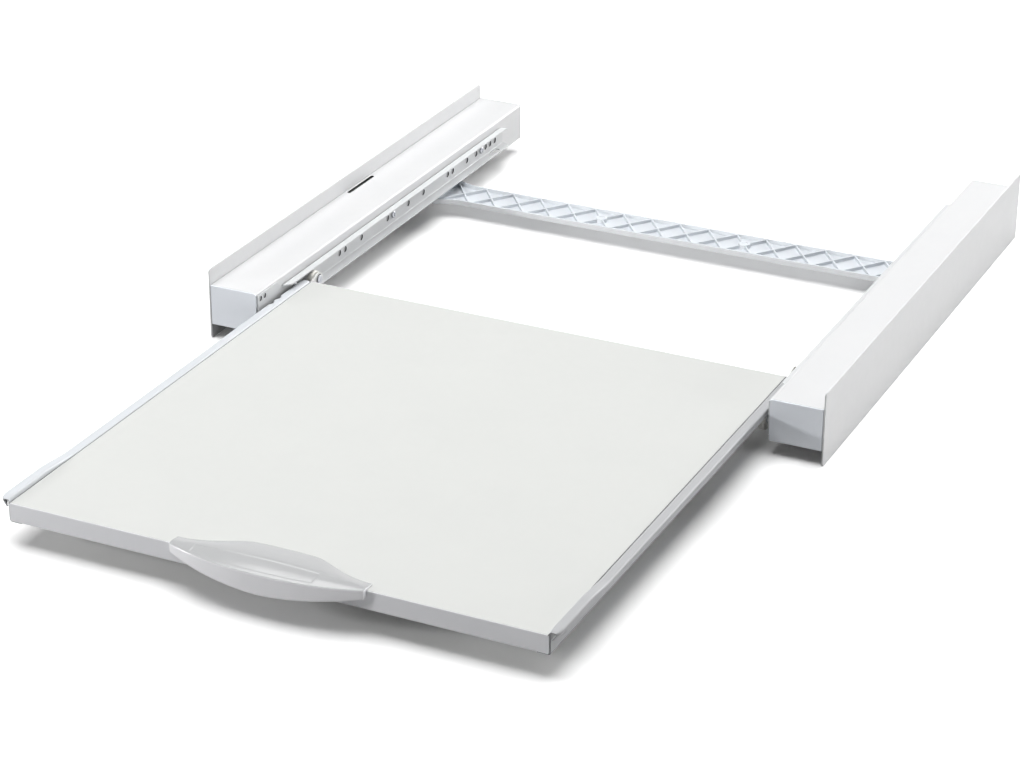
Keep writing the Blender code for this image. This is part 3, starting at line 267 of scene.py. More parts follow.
def inset_outline(outline, depth):
    """Closed outline moved inwards by a depth, each point to where its two sides, moved, cross."""
    along = unit(np.roll(outline, -1, axis=0) - outline)
    u, v = outline.T
    area = (u * np.roll(v, -1) - v * np.roll(u, -1)).sum()
    inward = np.column_stack([-along[:, 1], along[:, 0]]) * np.sign(area)
    before = np.roll(inward, 1, axis=0)
    share = 1.0 / np.maximum(1.0 + (inward * before).sum(1), 0.2)
    return outline + (inward + before) * share[:, None] * depth


def box_outline(x, y, corner, steps=3):
    """Rectangle from low and high X and Y, with round corners."""
    return rounded_outline([(x[0], y[0], corner), (x[1], y[0], corner), (x[1], y[1], corner),
                            (x[0], y[1], corner)], steps)


def quarter_round(radius, steps=3):
    """A quarter round's offsets from the corner it eases, along either side: r (1 - cos a) and
    r (1 - sin a)."""
    angle = np.linspace(0, np.pi / 2, steps + 1)
    return radius * (1 - np.cos(angle)), radius * (1 - np.sin(angle))


AXIS_ORDER = {"X": (2, 0, 1), "Y": (0, 2, 1), "Z": (0, 1, 2)}


def level_rings(outline, depths, levels):
    """Rings of points: the outline moved in by each depth, at the level that goes with it."""
    return [np.column_stack([inset_outline(outline, depth), np.full(len(outline), level)])
            for depth, level in zip(depths, levels)]


def rounded_slab(outline, axis, low, high, edge):
    """Flat piece of an outline's shape, from low to high along an axis. Its rim rolls over at both
    faces by quarter rounds of radius edge."""
    up, depth = quarter_round(edge)
    rings = np.stack(level_rings(outline, [*depth, *depth[::-1]], [*(low + up), *(high - up[::-1])]))
    points = rings.reshape(-1, 3)[:, AXIS_ORDER[axis]]
    faces = grid_quads(len(rings), len(outline), round_columns=True).tolist()
    count = len(outline)
    faces += [list(range(count)), list(range(len(points) - count, len(points)))]
    return points, faces


def merged(name, parts, closed=True):
    """One mesh of several (points, faces) parts, its doubles joined. Where it is closed, its faces
    are turned outwards."""
    points, faces, start = [], [], 0
    for part_points, part_faces in parts:
        points.append(np.asarray(part_points))
        faces += [[int(corner) + start for corner in face] for face in part_faces]
        start += len(part_points)
    mesh = bpy.data.meshes.new(name)
    mesh.from_pydata(np.concatenate(points).tolist(), [], faces)
    bm = bmesh.new()
    bm.from_mesh(mesh)
    bmesh.ops.remove_doubles(bm, verts=bm.verts, dist=JOIN_DISTANCE)
    if closed:
        bmesh.ops.recalc_face_normals(bm, faces=bm.faces)
    bm.to_mesh(mesh)
    bm.free()
    return mesh


def make_piece(name, shape, material, body, slot, *nodes, smooth=40.0):
    """Object of a mesh, or of (points, faces) parts, smooth up to an angle. It rides on a body and
    stands for CAD nodes."""
    mesh = merged(name, shape) if isinstance(shape, list) else shape
    mesh.materials.append(material)
    mesh.shade_smooth()
    mesh.set_sharp_from_angle(angle=np.radians(smooth))
    obj = in_scene(name, mesh)
    evened = obj.modifiers.new("even_shading", "WEIGHTED_NORMAL")
    evened.keep_sharp = True
    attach(obj, body)
    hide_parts(*nodes)
    return obj


powder_coat = coated_metal("white_powder_coat", (0.62, 0.622, 0.627), (0.605, 0.61, 0.617), 0.42,
                           0.012 * MM, 0.9 * MM)
plate = box_outline((RAIL_FRONT, RAIL_REAR), (0, RAIL_HEIGHT), PLATE_CORNER, 6)
for side_name, side in SIDES:
    low, high = sorted((side * PLATE_INNER, side * PLATE_OUTER))
    make_piece(f"{side_name}_outer_plate", [rounded_slab(plate, "X", low, high, SHEET_EDGE)],
               powder_coat, "frame", "white_powder_coat", f"{side_name}_side_plate")


# Channels. One sheet of steel is folded three sides round, its open side against the side plate,
# and the dryer stands on its top. A long slot beside the plate takes a strap. Its walls are painted
# near black, as painted shade in the slot.

CHANNEL_INNER, CHANNEL_OPEN = 251.5 * MM, 299.7 * MM
CHANNEL_BASE, CHANNEL_TOP = 14.5 * MM, 53.5 * MM
CHANNEL_FRONT, CHANNEL_REAR = -63.95 * MM, 497.45 * MM
CHANNEL_SHEET = 1.5 * MM
CHANNEL_BEND = 2.2 * MM
STRAP_SLOT_MIDDLE, STRAP_SLOT_Y = 295.4 * MM, 218.25 * MM
STRAP_SLOT_LENGTH, STRAP_SLOT_WIDTH = 52.0 * MM, 3.8 * MM
SLOT_END_MARGIN, SLOT_SIDE_REACH, SLOT_RIM = 1.5 * MM, 3 * MM, 0.3 * MM
CHANNEL_CUT_EDGE, CUT_ANGLE = 0.15 * MM, 50
EDGE_ON = 0.6                   # a cut edge faces less than this along the sheet's own normal


def bend(centre, radius, start, end, steps=7):
    """Arc round a centre from one angle to another, in degrees."""
    angle = np.radians(np.linspace(start, end, steps + 1))
    return np.column_stack([centre[0] + radius * np.cos(angle), centre[1] + radius * np.sin(angle)])


def lengths_along(profile):
    """Distance along an open profile to each of its points."""
    return np.concatenate([[0.0], np.cumsum(np.linalg.norm(np.diff(profile, axis=0), axis=1))])


def grid_lines(*groups):
    """Places of several groups in order, each one once, to a tenth of a micrometre."""
    return np.unique(np.round(np.concatenate(groups), 7))


def lines_round(marks, places, reach, steps):
    """Grid lines through marks, with the stretch of reach either side of each place cut in steps."""
    return grid_lines(marks, *(np.linspace(place - half, place + half, steps + 1)
                               for place, half in zip(places, reach)))


def punched_grid(s, t, holes, kept=None):
    """Grid over s and t with holes (s, t, radius, half straight, reach). The cells within reach of
    a hole give way to a ring of quads: its outer points are the grid's, and its inner points are
    the nearest ones on the hole's outline, a circle or a slot with round ends along t."""
    index = np.arange(len(s) * len(t)).reshape(len(s), len(t))
    points = np.column_stack([np.repeat(s, len(t)), np.tile(t, len(s))])
    cells = np.ones((len(s) - 1, len(t) - 1), bool) if kept is None else kept.copy()
    rings, extra, start = [], [], len(points)
    for hole_s, hole_t, radius, straight, reach_s, reach_t in holes:
        i0, i1 = np.abs(s - (hole_s - reach_s)).argmin(), np.abs(s - (hole_s + reach_s)).argmin()
        j0, j1 = np.abs(t - (hole_t - reach_t)).argmin(), np.abs(t - (hole_t + reach_t)).argmin()
        cells[i0:i1, j0:j1] = False
        outer = np.concatenate([index[i0, j0:j1], index[i0:i1, j1], index[i1, j1:j0:-1],
                                index[i1:i0:-1, j0]])
        arm = points[outer] - (hole_s, hole_t)
        core = np.column_stack([np.zeros(len(arm)), np.clip(arm[:, 1], -straight, straight)])
        extra.append((hole_s, hole_t) + core + unit(arm - core) * radius)
        inner = start + np.arange(len(outer))
        start += len(outer)
        rings.append(np.stack([outer, np.roll(outer, -1), np.roll(inner, -1), inner], axis=1))
    quads = np.stack([index[:-1, :-1][cells], index[:-1, 1:][cells], index[1:, 1:][cells],
                      index[1:, :-1][cells]], axis=1)
    quads = np.concatenate([quads] + rings)
    points = np.concatenate([points] + extra)
    used, numbered = np.unique(quads, return_inverse=True)
    return points[used], numbered.reshape(quads.shape)


def folded(profile, s_places, y):
    """Points of a fold: at s along the profile for X and Z, and at y."""
    along = lengths_along(profile)
    return np.column_stack([np.interp(s_places, along, profile[:, 0]), y,
                            np.interp(s_places, along, profile[:, 1])])


def sheet_mesh(name, side, *parts):
    """Open sheet of (points, quads) parts made for the right-hand side, mirrored for the left with
    its faces kept outwards."""
    return merged(name, [(points * (side, 1, 1), quads[:, ::side]) for points, quads in parts],
                  closed=False)


def add_thickness(obj, thickness, offset, edge):
    """Sheet's thickness, then a small round on its cut edges, ahead of the evened shading."""
    wall = obj.modifiers.new("sheet_thickness", "SOLIDIFY")
    wall.thickness = thickness
    wall.offset = offset
    wall.use_even_offset = True
    worn = obj.modifiers.new("cut_edges", "BEVEL")
    worn.width = edge
    worn.segments = 2
    worn.limit_method = "ANGLE"
    worn.angle_limit = np.radians(CUT_ANGLE)
    while obj.modifiers[-1].name != "even_shading":
        obj.modifiers.move(obj.modifiers.find("even_shading"), len(obj.modifiers) - 1)


def lies_near(tree, value, middle, reach):
    """1 where a value lies within reach of a middle, else 0."""
    return calculated(tree, "COMPARE", value, middle, reach)


def both(tree, first, second):
    """1 where two masks are both 1: their product."""
    return calculated(tree, "MULTIPLY", first, second)


def axes_of(tree, kind):
    """X, Y and Z of the place on the piece, kind Object, or of the way it faces, kind Normal."""
    return add_node(tree, "SeparateXYZ", {0: add_node(tree, "TexCoord").outputs[kind]}).outputs


def recoloured(tree, share, colour):
    """Turns the material's colour into another one by a share from 0 to 1."""
    shader = next(node for node in tree.nodes if node.bl_idname == "ShaderNodeBsdfPrincipled")
    before = shader.inputs["Base Color"].links[0].from_socket
    mix = add_node(tree, "Mix", {0: share, 6: before, 7: (*colour, 1.0)}, data_type="RGBA")
    tree.links.new(mix.outputs[2], shader.inputs["Base Color"])


tree = powder_coat.node_tree
facing, place = axes_of(tree, "Normal"), axes_of(tree, "Object")
off_middle = calculated(tree, "ABSOLUTE", place["X"])
in_slot = both(tree, lies_near(tree, off_middle, STRAP_SLOT_MIDDLE, STRAP_SLOT_WIDTH / 2 + SLOT_RIM),
               lies_near(tree, place["Y"], STRAP_SLOT_Y, STRAP_SLOT_LENGTH / 2 + SLOT_RIM))
# The slot's walls are painted near black, as painted shade in the slot.
recoloured(tree, both(tree, in_slot, lies_near(tree, facing["Z"], 0.0, EDGE_ON)), (0.02, 0.02, 0.02))

channel_profile = np.concatenate([
    [(CHANNEL_OPEN, CHANNEL_TOP)],
    bend((CHANNEL_INNER + CHANNEL_BEND, CHANNEL_TOP - CHANNEL_BEND), CHANNEL_BEND, 90, 180),
    bend((CHANNEL_INNER + CHANNEL_BEND, CHANNEL_BASE + CHANNEL_BEND), CHANNEL_BEND, 180, 270),
    [(CHANNEL_OPEN, CHANNEL_BASE)]])
slot_s = CHANNEL_OPEN - STRAP_SLOT_MIDDLE
slot_half = STRAP_SLOT_LENGTH / 2 - STRAP_SLOT_WIDTH / 2
slot_reach = STRAP_SLOT_LENGTH / 2 + SLOT_END_MARGIN
channel_s = np.unique(np.concatenate([
    lengths_along(channel_profile), np.linspace(slot_s - SLOT_SIDE_REACH, slot_s + SLOT_SIDE_REACH, 7)]))
channel_y = lines_round(np.linspace(CHANNEL_FRONT, CHANNEL_REAR, 12), [STRAP_SLOT_Y], [slot_reach], 30)
strap_slot = (slot_s, STRAP_SLOT_Y, STRAP_SLOT_WIDTH / 2, slot_half, SLOT_SIDE_REACH, slot_reach)
channel_grid, channel_quads = punched_grid(channel_s, channel_y, [strap_slot])
channel_points = folded(channel_profile, *channel_grid.T)
for side_name, side in SIDES:
    channel = make_piece(f"{side_name}_folded_channel",
                         sheet_mesh("folded_channel", side, (channel_points, channel_quads)),
                         powder_coat, "frame", "white_powder_coat", f"{side_name}_channel", smooth=30.0)
    add_thickness(channel, CHANNEL_SHEET, -1.0, CHANNEL_CUT_EDGE)


# End plates. Each end of a channel is closed by a small plate with rounded inner corners, spot
# welded in and coated with the rest. The front plates are painted lighter and bluer than the rest,
# as painted light, and the rear ones are painted a darker tone.

PLATE_THICKNESS = 1.5 * MM
END_PLATE_CORNER, OPEN_CORNER, END_PLATE_EDGE = 1.8 * MM, 0.3 * MM, 0.45 * MM
REAR_PLATE_REACH = 5 * MM

# The plates' lighter, bluer tone is painted light. At the rear it is painted down to a darker tone.
lit_end_coat = coated_metal("end_plate_lit_coat", (0.80, 0.83, 0.88), (0.785, 0.82, 0.87), 0.40,
                        0.012 * MM, 0.9 * MM)
tree = lit_end_coat.node_tree
at_rear = lies_near(tree, axes_of(tree, "Object")["Y"], RAIL_REAR, REAR_PLATE_REACH)
recoloured(tree, at_rear, (0.56, 0.575, 0.60))
for side_name, side in SIDES:
    for end_name, start in (("front", RAIL_FRONT), ("rear", RAIL_REAR - PLATE_THICKNESS)):
        corners = rounded_outline([(side * CHANNEL_OPEN, CHANNEL_BASE, OPEN_CORNER),
                                   (side * CHANNEL_OPEN, CHANNEL_TOP, OPEN_CORNER),
                                   (side * CHANNEL_INNER, CHANNEL_TOP, END_PLATE_CORNER),
                                   (side * CHANNEL_INNER, CHANNEL_BASE, END_PLATE_CORNER)])
        make_piece(f"{side_name}_{end_name}_end_plate",
                   [rounded_slab(corners, "Y", start, start + PLATE_THICKNESS, END_PLATE_EDGE)],
                   lit_end_coat, "frame", "white_powder_coat", f"{side_name}_{end_name}_cap")


# Pads. Black rubber pads glued under each channel stand on the washing machine's top and keep
# the rail from creeping. Their corners are round and their skin is matt and grained.

PAD_WIDTH, PAD_LENGTH, PAD_THICKNESS = 30.0 * MM, 60.0 * MM, 2.0 * MM
PAD_TOP = 14.2 * MM
PAD_NEAR = 260.75 * MM
PAD_FRONTS = (("front", -40.75 * MM), ("rear", 414.25 * MM))
PAD_CORNER, PAD_EDGE = 4.0 * MM, 0.5 * MM

rubber = coated_metal("pad_rubber", (0.022, 0.022, 0.023), (0.032, 0.032, 0.033), 0.72,
                      0.03 * MM, 1.4 * MM, sheen=0.35)
for side_name, side in SIDES:
    for end_name, start in PAD_FRONTS:
        pad = box_outline((side * PAD_NEAR, side * (PAD_NEAR + PAD_WIDTH)), (start, start + PAD_LENGTH),
                          PAD_CORNER, 6)
        make_piece(f"{side_name}_{end_name}_foot_pad",
                   [rounded_slab(pad, "Z", PAD_TOP - PAD_THICKNESS, PAD_TOP, PAD_EDGE)],
                   rubber, "frame", "pad_rubber", f"{side_name}_{end_name}_pad")


# Tracks on the rails. Each is a roll-formed steel section, coated with epoxy, with a flange above
# and below the rear wheel's path. A tall tab at its front carries the front wheel. The cut edges
# of its holes are painted dark, as painted shade in the holes.

TRACK_SHEET = 1.2 * MM
TRACK_WEB = 250.0 * MM
TRACK_FRONT, TRACK_REAR = -64.25 * MM, 450.75 * MM
TRACK_LOWER, TRACK_UPPER = 26.85 * MM, 44.15 * MM
TRACK_BEND = 1.1 * MM
LOWER_EDGE, UPPER_EDGE = 240.4 * MM, 243.0 * MM
TAB_FOOT, TAB_TOP = 19.65 * MM, 51.5 * MM
TAB_END, TAB_SLOPE = 35.0 * MM, 10.0 * MM
HOLE_HEIGHT, HOLE_RADIUS, HOLE_REACH = 35.5 * MM, 3.0 * MM, 4.6 * MM
ROW_HOLES = np.array((90.45, 101.75, 134.75, 189.45, 233.75, 266.75, 321.45, 332.75, 365.75,
                      387.45, 410.05, 420.45, 431.75)) * MM
TAB_HOLES, TAB_HOLE_HEIGHT, TAB_HOLE_RADIUS = np.array((-59.25, -51.65)) * MM, 47.3 * MM, 2.4 * MM
FLANGE_SLOT_Y, FLANGE_SLOT_LENGTH, FLANGE_SLOT_WIDTH = 420.75 * MM, 21.0 * MM, 4.4 * MM
FLANGE_SLANT = 6.0 * MM
LOWER_ROUND, UPPER_ROUND = 9.0 * MM, 2.0 * MM
TRACK_CUT_EDGE = 0.12 * MM
DIP, DIP_LENGTH = 2.4 * MM, 9.0 * MM
TAB_REACH_Z, TAB_REACH_Y = 3.2 * MM, 3.4 * MM
FLANGE_SLOT_REACH, FLANGE_SLOT_MARGIN = 2.9 * MM, 0.8 * MM
LEAST_WIDTH = 0.12              # share of the lower flange's width that is left at its rear end
ROW_MARGIN, TAB_ROW_HALF, HOLE_RIM, TAB_HOLE_RIM = 4 * MM, 6.6 * MM, 0.4 * MM, 0.3 * MM


def quarter_taper(distance, length):
    """Share of full width at a distance from an end: 0 at the end, and 1 from the length on, along
    a quarter of an ellipse."""
    return np.sqrt(np.clip(1 - (1 - np.clip(distance / length, 0, 1)) ** 2, 0, 1))


def ramp(value, start, end):
    """Share of the way from start to end that a value has gone, held to 0 and 1."""
    return np.clip((value - start) / (end - start), 0, 1)


def end_dip(y):
    """How far the top is pressed down at the rear: the dip times the square of the share of its
    length."""
    return DIP * ramp(y - TRACK_REAR, -DIP_LENGTH, 0) ** 2


web_low, web_high = TRACK_LOWER + TRACK_BEND, TRACK_UPPER - TRACK_BEND
tab_end = TRACK_FRONT + TAB_END
flange_front = tab_end + TAB_SLOPE
turn_length = TRACK_BEND * np.pi / 2


def web_point(z, y):
    """Point of the web and its tab. Past the tab's end its top and foot slope down to the bends,
    and its upper half is drawn down by the dip at the rear."""
    share = 1 - ramp(y - tab_end, 0, TAB_SLOPE)
    shape = np.where(z > web_high, web_high + (z - web_high) * share,
                     np.where(z < web_low, web_low - (web_low - z) * share, z))
    shape = shape - end_dip(y) * ramp(z, HOLE_HEIGHT, web_high)
    return np.column_stack([np.full(len(z), TRACK_WEB), y, shape])


def flange_point(s, y, level, way, width, share):
    """Point of a flange s along it from the web: round the bend, then out to its edge, whose
    distance from the bend is the width times a share that depends on y. The way is 1 for the lower
    flange and -1 for the upper one, which dips."""
    angle = ramp(s, 0, turn_length) * np.pi / 2
    out = ramp(s - turn_length, 0, width - TRACK_BEND) * (width - TRACK_BEND) * share
    x = TRACK_WEB - TRACK_BEND * (1 - np.cos(angle)) - out
    z = level + way * TRACK_BEND * (1 - np.sin(angle)) - (end_dip(y) if way < 0 else 0)
    return np.column_stack([x, y, z])


track_marks = grid_lines(
    np.linspace(TRACK_FRONT, tab_end, 5), np.linspace(tab_end, flange_front, 4),
    np.linspace(flange_front, flange_front + FLANGE_SLANT, 4), np.linspace(-10 * MM, 80 * MM, 7),
    [150 * MM, 210 * MM, 290 * MM], TRACK_REAR - LOWER_ROUND * np.linspace(0, 1, 15) ** 1.7)
track_y = lines_round(track_marks, np.concatenate([ROW_HOLES, TAB_HOLES]),
                      [HOLE_REACH] * len(ROW_HOLES) + [TAB_REACH_Y] * len(TAB_HOLES), 8)
track_z = lines_round([TAB_FOOT, 23 * MM, web_low, web_high, TAB_TOP, 30.0 * MM],
                      [HOLE_HEIGHT, TAB_HOLE_HEIGHT], [HOLE_REACH, TAB_REACH_Z], 8)
cell_z, cell_y = (track_z[:-1] + track_z[1:]) / 2, (track_y[:-1] + track_y[1:]) / 2
web_kept = ((cell_z > web_low) & (cell_z < web_high))[:, None] | (cell_y < flange_front)[None, :]
web_holes = [(HOLE_HEIGHT, y, HOLE_RADIUS, 0.0, HOLE_REACH, HOLE_REACH) for y in ROW_HOLES]
web_holes += [(TAB_HOLE_HEIGHT, y, TAB_HOLE_RADIUS, 0.0, TAB_REACH_Z, TAB_REACH_Y) for y in TAB_HOLES]
web_points, web_quads = punched_grid(track_z, track_y, web_holes, web_kept)
track_parts = [(web_point(*web_points.T), web_quads)]

flange_y = track_y[track_y > flange_front - HAIR]
bend_s = np.linspace(0, turn_length, 6)
lower_width, upper_width = TRACK_WEB - LOWER_EDGE, TRACK_WEB - UPPER_EDGE
slot_middle_s = turn_length + lower_width / 2 - TRACK_BEND
lower_s = grid_lines(
    bend_s, np.linspace(slot_middle_s - FLANGE_SLOT_REACH, slot_middle_s + FLANGE_SLOT_REACH, 7),
    [turn_length + lower_width - TRACK_BEND])
slot_y = flange_y[np.abs(flange_y - FLANGE_SLOT_Y) < FLANGE_SLOT_LENGTH / 2 + FLANGE_SLOT_MARGIN]
slot_reach_y = min(FLANGE_SLOT_Y - slot_y[0], slot_y[-1] - FLANGE_SLOT_Y)
flange_slot = (slot_middle_s, FLANGE_SLOT_Y, FLANGE_SLOT_WIDTH / 2,
               FLANGE_SLOT_LENGTH / 2 - FLANGE_SLOT_WIDTH / 2, FLANGE_SLOT_REACH, slot_reach_y)
lower_points, lower_quads = punched_grid(lower_s, flange_y, [flange_slot])
lower_share = (ramp(lower_points[:, 1] - flange_front, 0, FLANGE_SLANT)
               * np.maximum(quarter_taper(TRACK_REAR - lower_points[:, 1], LOWER_ROUND), LEAST_WIDTH))
track_parts.append((flange_point(*lower_points.T, TRACK_LOWER, 1, lower_width, lower_share),
                    lower_quads[:, ::-1]))
upper_s = np.concatenate([bend_s, [turn_length + upper_width / 2,
                                   turn_length + upper_width - TRACK_BEND]])
upper_points, upper_quads = punched_grid(upper_s, flange_y, [])
upper_share = (ramp(upper_points[:, 1] - flange_front, 0, FLANGE_SLANT)
               * (1 - UPPER_ROUND / upper_width
                  * (1 - quarter_taper(TRACK_REAR - upper_points[:, 1], UPPER_ROUND))))
track_parts.append((flange_point(*upper_points.T, TRACK_UPPER, -1, upper_width, upper_share),
                    upper_quads))

track_epoxy = coated_metal("track_epoxy", (0.58, 0.59, 0.595), (0.56, 0.57, 0.58), 0.34,
                           0.010 * MM, 1.6 * MM, sheen=0.4)
tree = track_epoxy.node_tree
facing, place = axes_of(tree, "Normal"), axes_of(tree, "Object")
row_middle, row_half = (ROW_HOLES[0] + ROW_HOLES[-1]) / 2, (ROW_HOLES[-1] - ROW_HOLES[0]) / 2
in_row = both(tree, lies_near(tree, place["Y"], row_middle, row_half + ROW_MARGIN),
              lies_near(tree, place["Z"], HOLE_HEIGHT, HOLE_RADIUS + HOLE_RIM))
in_tab_holes = both(tree, lies_near(tree, place["Y"], TAB_HOLES.mean(), TAB_ROW_HALF),
                    lies_near(tree, place["Z"], TAB_HOLE_HEIGHT, TAB_HOLE_RADIUS + TAB_HOLE_RIM))
in_hole = calculated(tree, "ADD", in_row, in_tab_holes)
# The holes' cut edges are painted dark, as painted shade in the holes.
recoloured(tree, both(tree, lies_near(tree, facing["X"], 0.0, EDGE_ON), in_hole), (0.18, 0.18, 0.185))
for side_name, side in SIDES:
    track = make_piece(f"{side_name}_rail_track", sheet_mesh("rail_track", side, *track_parts),
                       track_epoxy, "frame", "runner_epoxy", f"{side_name}_fixed_runner", smooth=30.0)
    add_thickness(track, TRACK_SHEET, 1.0, TRACK_CUT_EDGE)


# Screws of the tracks. Three zinc-plated pan heads a side, each with a cross recess, hold the
# track to the channel.

TRACK_SCREWS = np.array((2.75, 200.75, 398.75)) * MM
TRACK_SCREW = (3.5 * MM, 1.8 * MM, 2.0 * MM, 7.0 * MM)  # head radius and height, radius, length
CLEAR = 0.3 * MM                # between pieces that touch
DOME_FALL, DOME_FOOT = 0.45, -0.3 * MM
CROSS_REACH, CROSS_WIDTH, CROSS_SHARE = 0.62, 0.34, 0.5
THREAD_START, THREAD_PITCH, THREAD_DEPTH = 0.4 * MM, 0.68 * MM, 0.09


def turned(profile, sides):
    """Surface of an open profile of (radius, height) spun round Z: X = r cos a, Y = r sin a."""
    angle = np.arange(sides) * 2 * np.pi / sides
    radius, height = np.asarray(profile, float).T
    points = np.stack([radius[:, None] * np.cos(angle), radius[:, None] * np.sin(angle),
                       np.broadcast_to(height[:, None], (len(radius), sides))], axis=-1)
    return points.reshape(-1, 3), grid_quads(len(radius), sides, round_columns=True)


def stood(shape, origin, along):
    """Shape made round Z, with Z turned to point along X, back along X or along Z, moved to an
    origin."""
    points, faces = shape
    along, side = np.array(along, float), np.array((0.0, 1.0, 0.0))
    return points @ np.stack([side, np.cross(along, side), along]) + np.array(origin), faces


def crossed_head(shape, below, reach, width, depth):
    """Head that faces -Z, pressed in by a cross where it lies below a height: the depth times how
    far a point lies inside either arm, from 0 at the arm's edge to 1 a quarter of its width in."""
    points, faces = shape
    x, y, z = points.T
    inside = np.zeros(len(points))
    for across, along in ((x, y), (y, x)):
        within = np.clip((width / 2 - np.abs(across)) / (width / 4), 0, 1)
        inside = np.maximum(inside, within * np.clip((reach - np.abs(along)) / (width / 4), 0, 1))
    return np.column_stack([x, y, z + depth * inside * (z < below)]), faces


def thread(start, end, count, radius, pitch, depth):
    """Shank's (radius, height) points. The thread is a ripple that takes a share of the radius:
    r (1 - depth (1 - cos(2 pi z / pitch)) / 2)."""
    height = np.linspace(start, end, count)
    return np.column_stack([radius * (1 - depth * (0.5 - 0.5 * np.cos(height / pitch * 2 * np.pi))),
                            height])


def pan_head_screw(head_radius, head_height, radius, length):
    """Head under Z = 0, domed as h (1 - fall s^4) and pressed in by a cross, with a threaded shank
    above it. The s is the share of the head's radius."""
    share = np.linspace(0, 1, 15)
    dome = np.column_stack([head_radius * share, -head_height * (1 - DOME_FALL * share ** 4)])
    screw = turned(np.concatenate([
        dome, [(head_radius, -0.1 * MM), (head_radius - 0.1 * MM, 0), (radius, 0)],
        thread(THREAD_START, length - radius, 25, radius, THREAD_PITCH, THREAD_DEPTH),
        [(radius / 3, length), (0, length)]]), 32)
    return crossed_head(screw, DOME_FOOT, head_radius * CROSS_REACH, head_radius * CROSS_WIDTH,
                        head_height * CROSS_SHARE)


def bright_metal(name, tone, shade, roughness):
    """Plated steel: a metal whose tone clouds slightly, with a fine grain in its height."""
    material, tree, output = blank_material(name)
    colour = tinted(tree, spread(tree, cloudy(tree, 5 * MM)), tone, shade)
    bump = add_node(tree, "Bump", {"Height": cloudy(tree, 0.5 * MM, 2.0), "Distance": 0.01 * MM})
    shader = add_node(tree, "BsdfPrincipled", {"Base Color": colour, "Metallic": 1.0,
                                               "Roughness": roughness, "Normal": bump.outputs[0]})
    tree.links.new(shader.outputs[0], output.inputs["Surface"])
    return material


zinc = bright_metal("zinc_plate", (0.42, 0.43, 0.45), (0.34, 0.35, 0.38), 0.40)
for side_name, side in SIDES:
    for number, y in enumerate(TRACK_SCREWS, 1):
        screw = stood(pan_head_screw(*TRACK_SCREW), (side * (TRACK_WEB - CLEAR), y, HOLE_HEIGHT),
                      (side, 0, 0))
        make_piece(f"{side_name}_track_screw_{number}", [screw], zinc, "frame", "zinc_plate",
                   f"{side_name}_runner_screw_{number}")


# Front wheels. Each is turned from cream nylon, with a ring sunk in both faces, and spins on a
# shouldered rivet in the track's tab. The shelf's track rolls over them.

FRONT_WHEEL = np.array((242.2, -51.25, 27.8)) * MM
FRONT_WHEEL_RADIUS, FRONT_WHEEL_WIDTH = 10.4 * MM, 5.5 * MM
FRONT_WHEEL_SUNK = 0.7 * MM
RIVET_RADIUS, RIVET_HEAD, RIVET_SHOULDER = 2.5 * MM, 4.2 * MM, 4.0 * MM
RIVET_HEAD_HEIGHT = 1.0 * MM
WHEEL_RECESS, WHEEL_EDGE = 1.5 * MM, 0.7 * MM
HUB_WIDTH, RIM_WIDTH, RING_SLOPE = 0.6 * MM, 1.7 * MM, 0.3 * MM


def wheel(radius, width, sunk):
    """Wheel round Z: a bore, a hub face sunk at the top for the rivet's head, a ring sunk in both
    faces, and a rim that rolls over into the tread."""
    half, bore, recess = width / 2, RIVET_RADIUS + CLEAR, RIVET_HEAD + CLEAR
    hub, rim = recess + HUB_WIDTH, radius - RIM_WIDTH
    near, far = quarter_round(WHEEL_EDGE, 4)
    lower = np.column_stack([radius - far, near - half])
    upper = np.column_stack([radius - near, half - far])
    return turned(np.concatenate([
        [(bore, -half), (hub, -half), (hub + RING_SLOPE, -half + sunk), (rim - RING_SLOPE, -half + sunk),
         (rim, -half)], lower, [(radius, 0.0)], upper,
        [(rim, half), (rim - RING_SLOPE, half - sunk), (hub + RING_SLOPE, half - sunk), (hub, half),
         (recess, half), (recess, half - WHEEL_RECESS), (bore, half - WHEEL_RECESS),
         (bore, -half)]]), 64)


def rivet(levels, middle):
    """Rivet round Z through (radius, height) steps, heights taken from a middle, with its ends
    closed. A shallow dimple marks the middle of its first head."""
    levels = np.array(levels) - (0, middle)
    radius, end = levels[0]
    dimple = [(0, end + 0.35 * MM), (radius * 0.35, end + 0.3 * MM), (radius * 0.5, end)]
    return turned(np.concatenate([dimple, levels, [(0, levels[-1][1])]]), 40)


nylon = coated_metal("roller_nylon", (0.84, 0.83, 0.79), (0.81, 0.80, 0.755), 0.38,
                     0.02 * MM, 1.2 * MM, sheen=0.45)
front_head = FRONT_WHEEL[0] - FRONT_WHEEL_WIDTH / 2 + WHEEL_RECESS - CLEAR
front_shoulder = FRONT_WHEEL[0] + FRONT_WHEEL_WIDTH / 2 + CLEAR
front_rivet = rivet([
    (RIVET_HEAD - 0.2 * MM, front_head - RIVET_HEAD_HEIGHT), (RIVET_HEAD, front_head - 0.8 * MM),
    (RIVET_HEAD, front_head), (RIVET_RADIUS, front_head), (RIVET_RADIUS, front_shoulder),
    (RIVET_SHOULDER, front_shoulder), (RIVET_SHOULDER, TRACK_WEB - CLEAR),
    (RIVET_RADIUS, TRACK_WEB - CLEAR), (RIVET_RADIUS, TRACK_WEB + TRACK_SHEET)], FRONT_WHEEL[0])
front_wheel = wheel(FRONT_WHEEL_RADIUS, FRONT_WHEEL_WIDTH, FRONT_WHEEL_SUNK)
for side_name, side in SIDES:
    place = FRONT_WHEEL * (side, 1, 1)
    make_piece(f"{side_name}_front_wheel", [stood(front_wheel, place, (-side, 0, 0))], nylon,
               f"{side_name}_front_roller", "roller_nylon", f"{side_name}_front_roller")
    make_piece(f"{side_name}_front_wheel_rivet", [stood(front_rivet, place, (side, 0, 0))], zinc,
               "frame", "zinc_plate", f"{side_name}_front_roller_pin")


# Shelf panel. It is chipboard faced with white melamine, pressed with a very fine pearl texture,
# and lies between the two tracks that carry it.

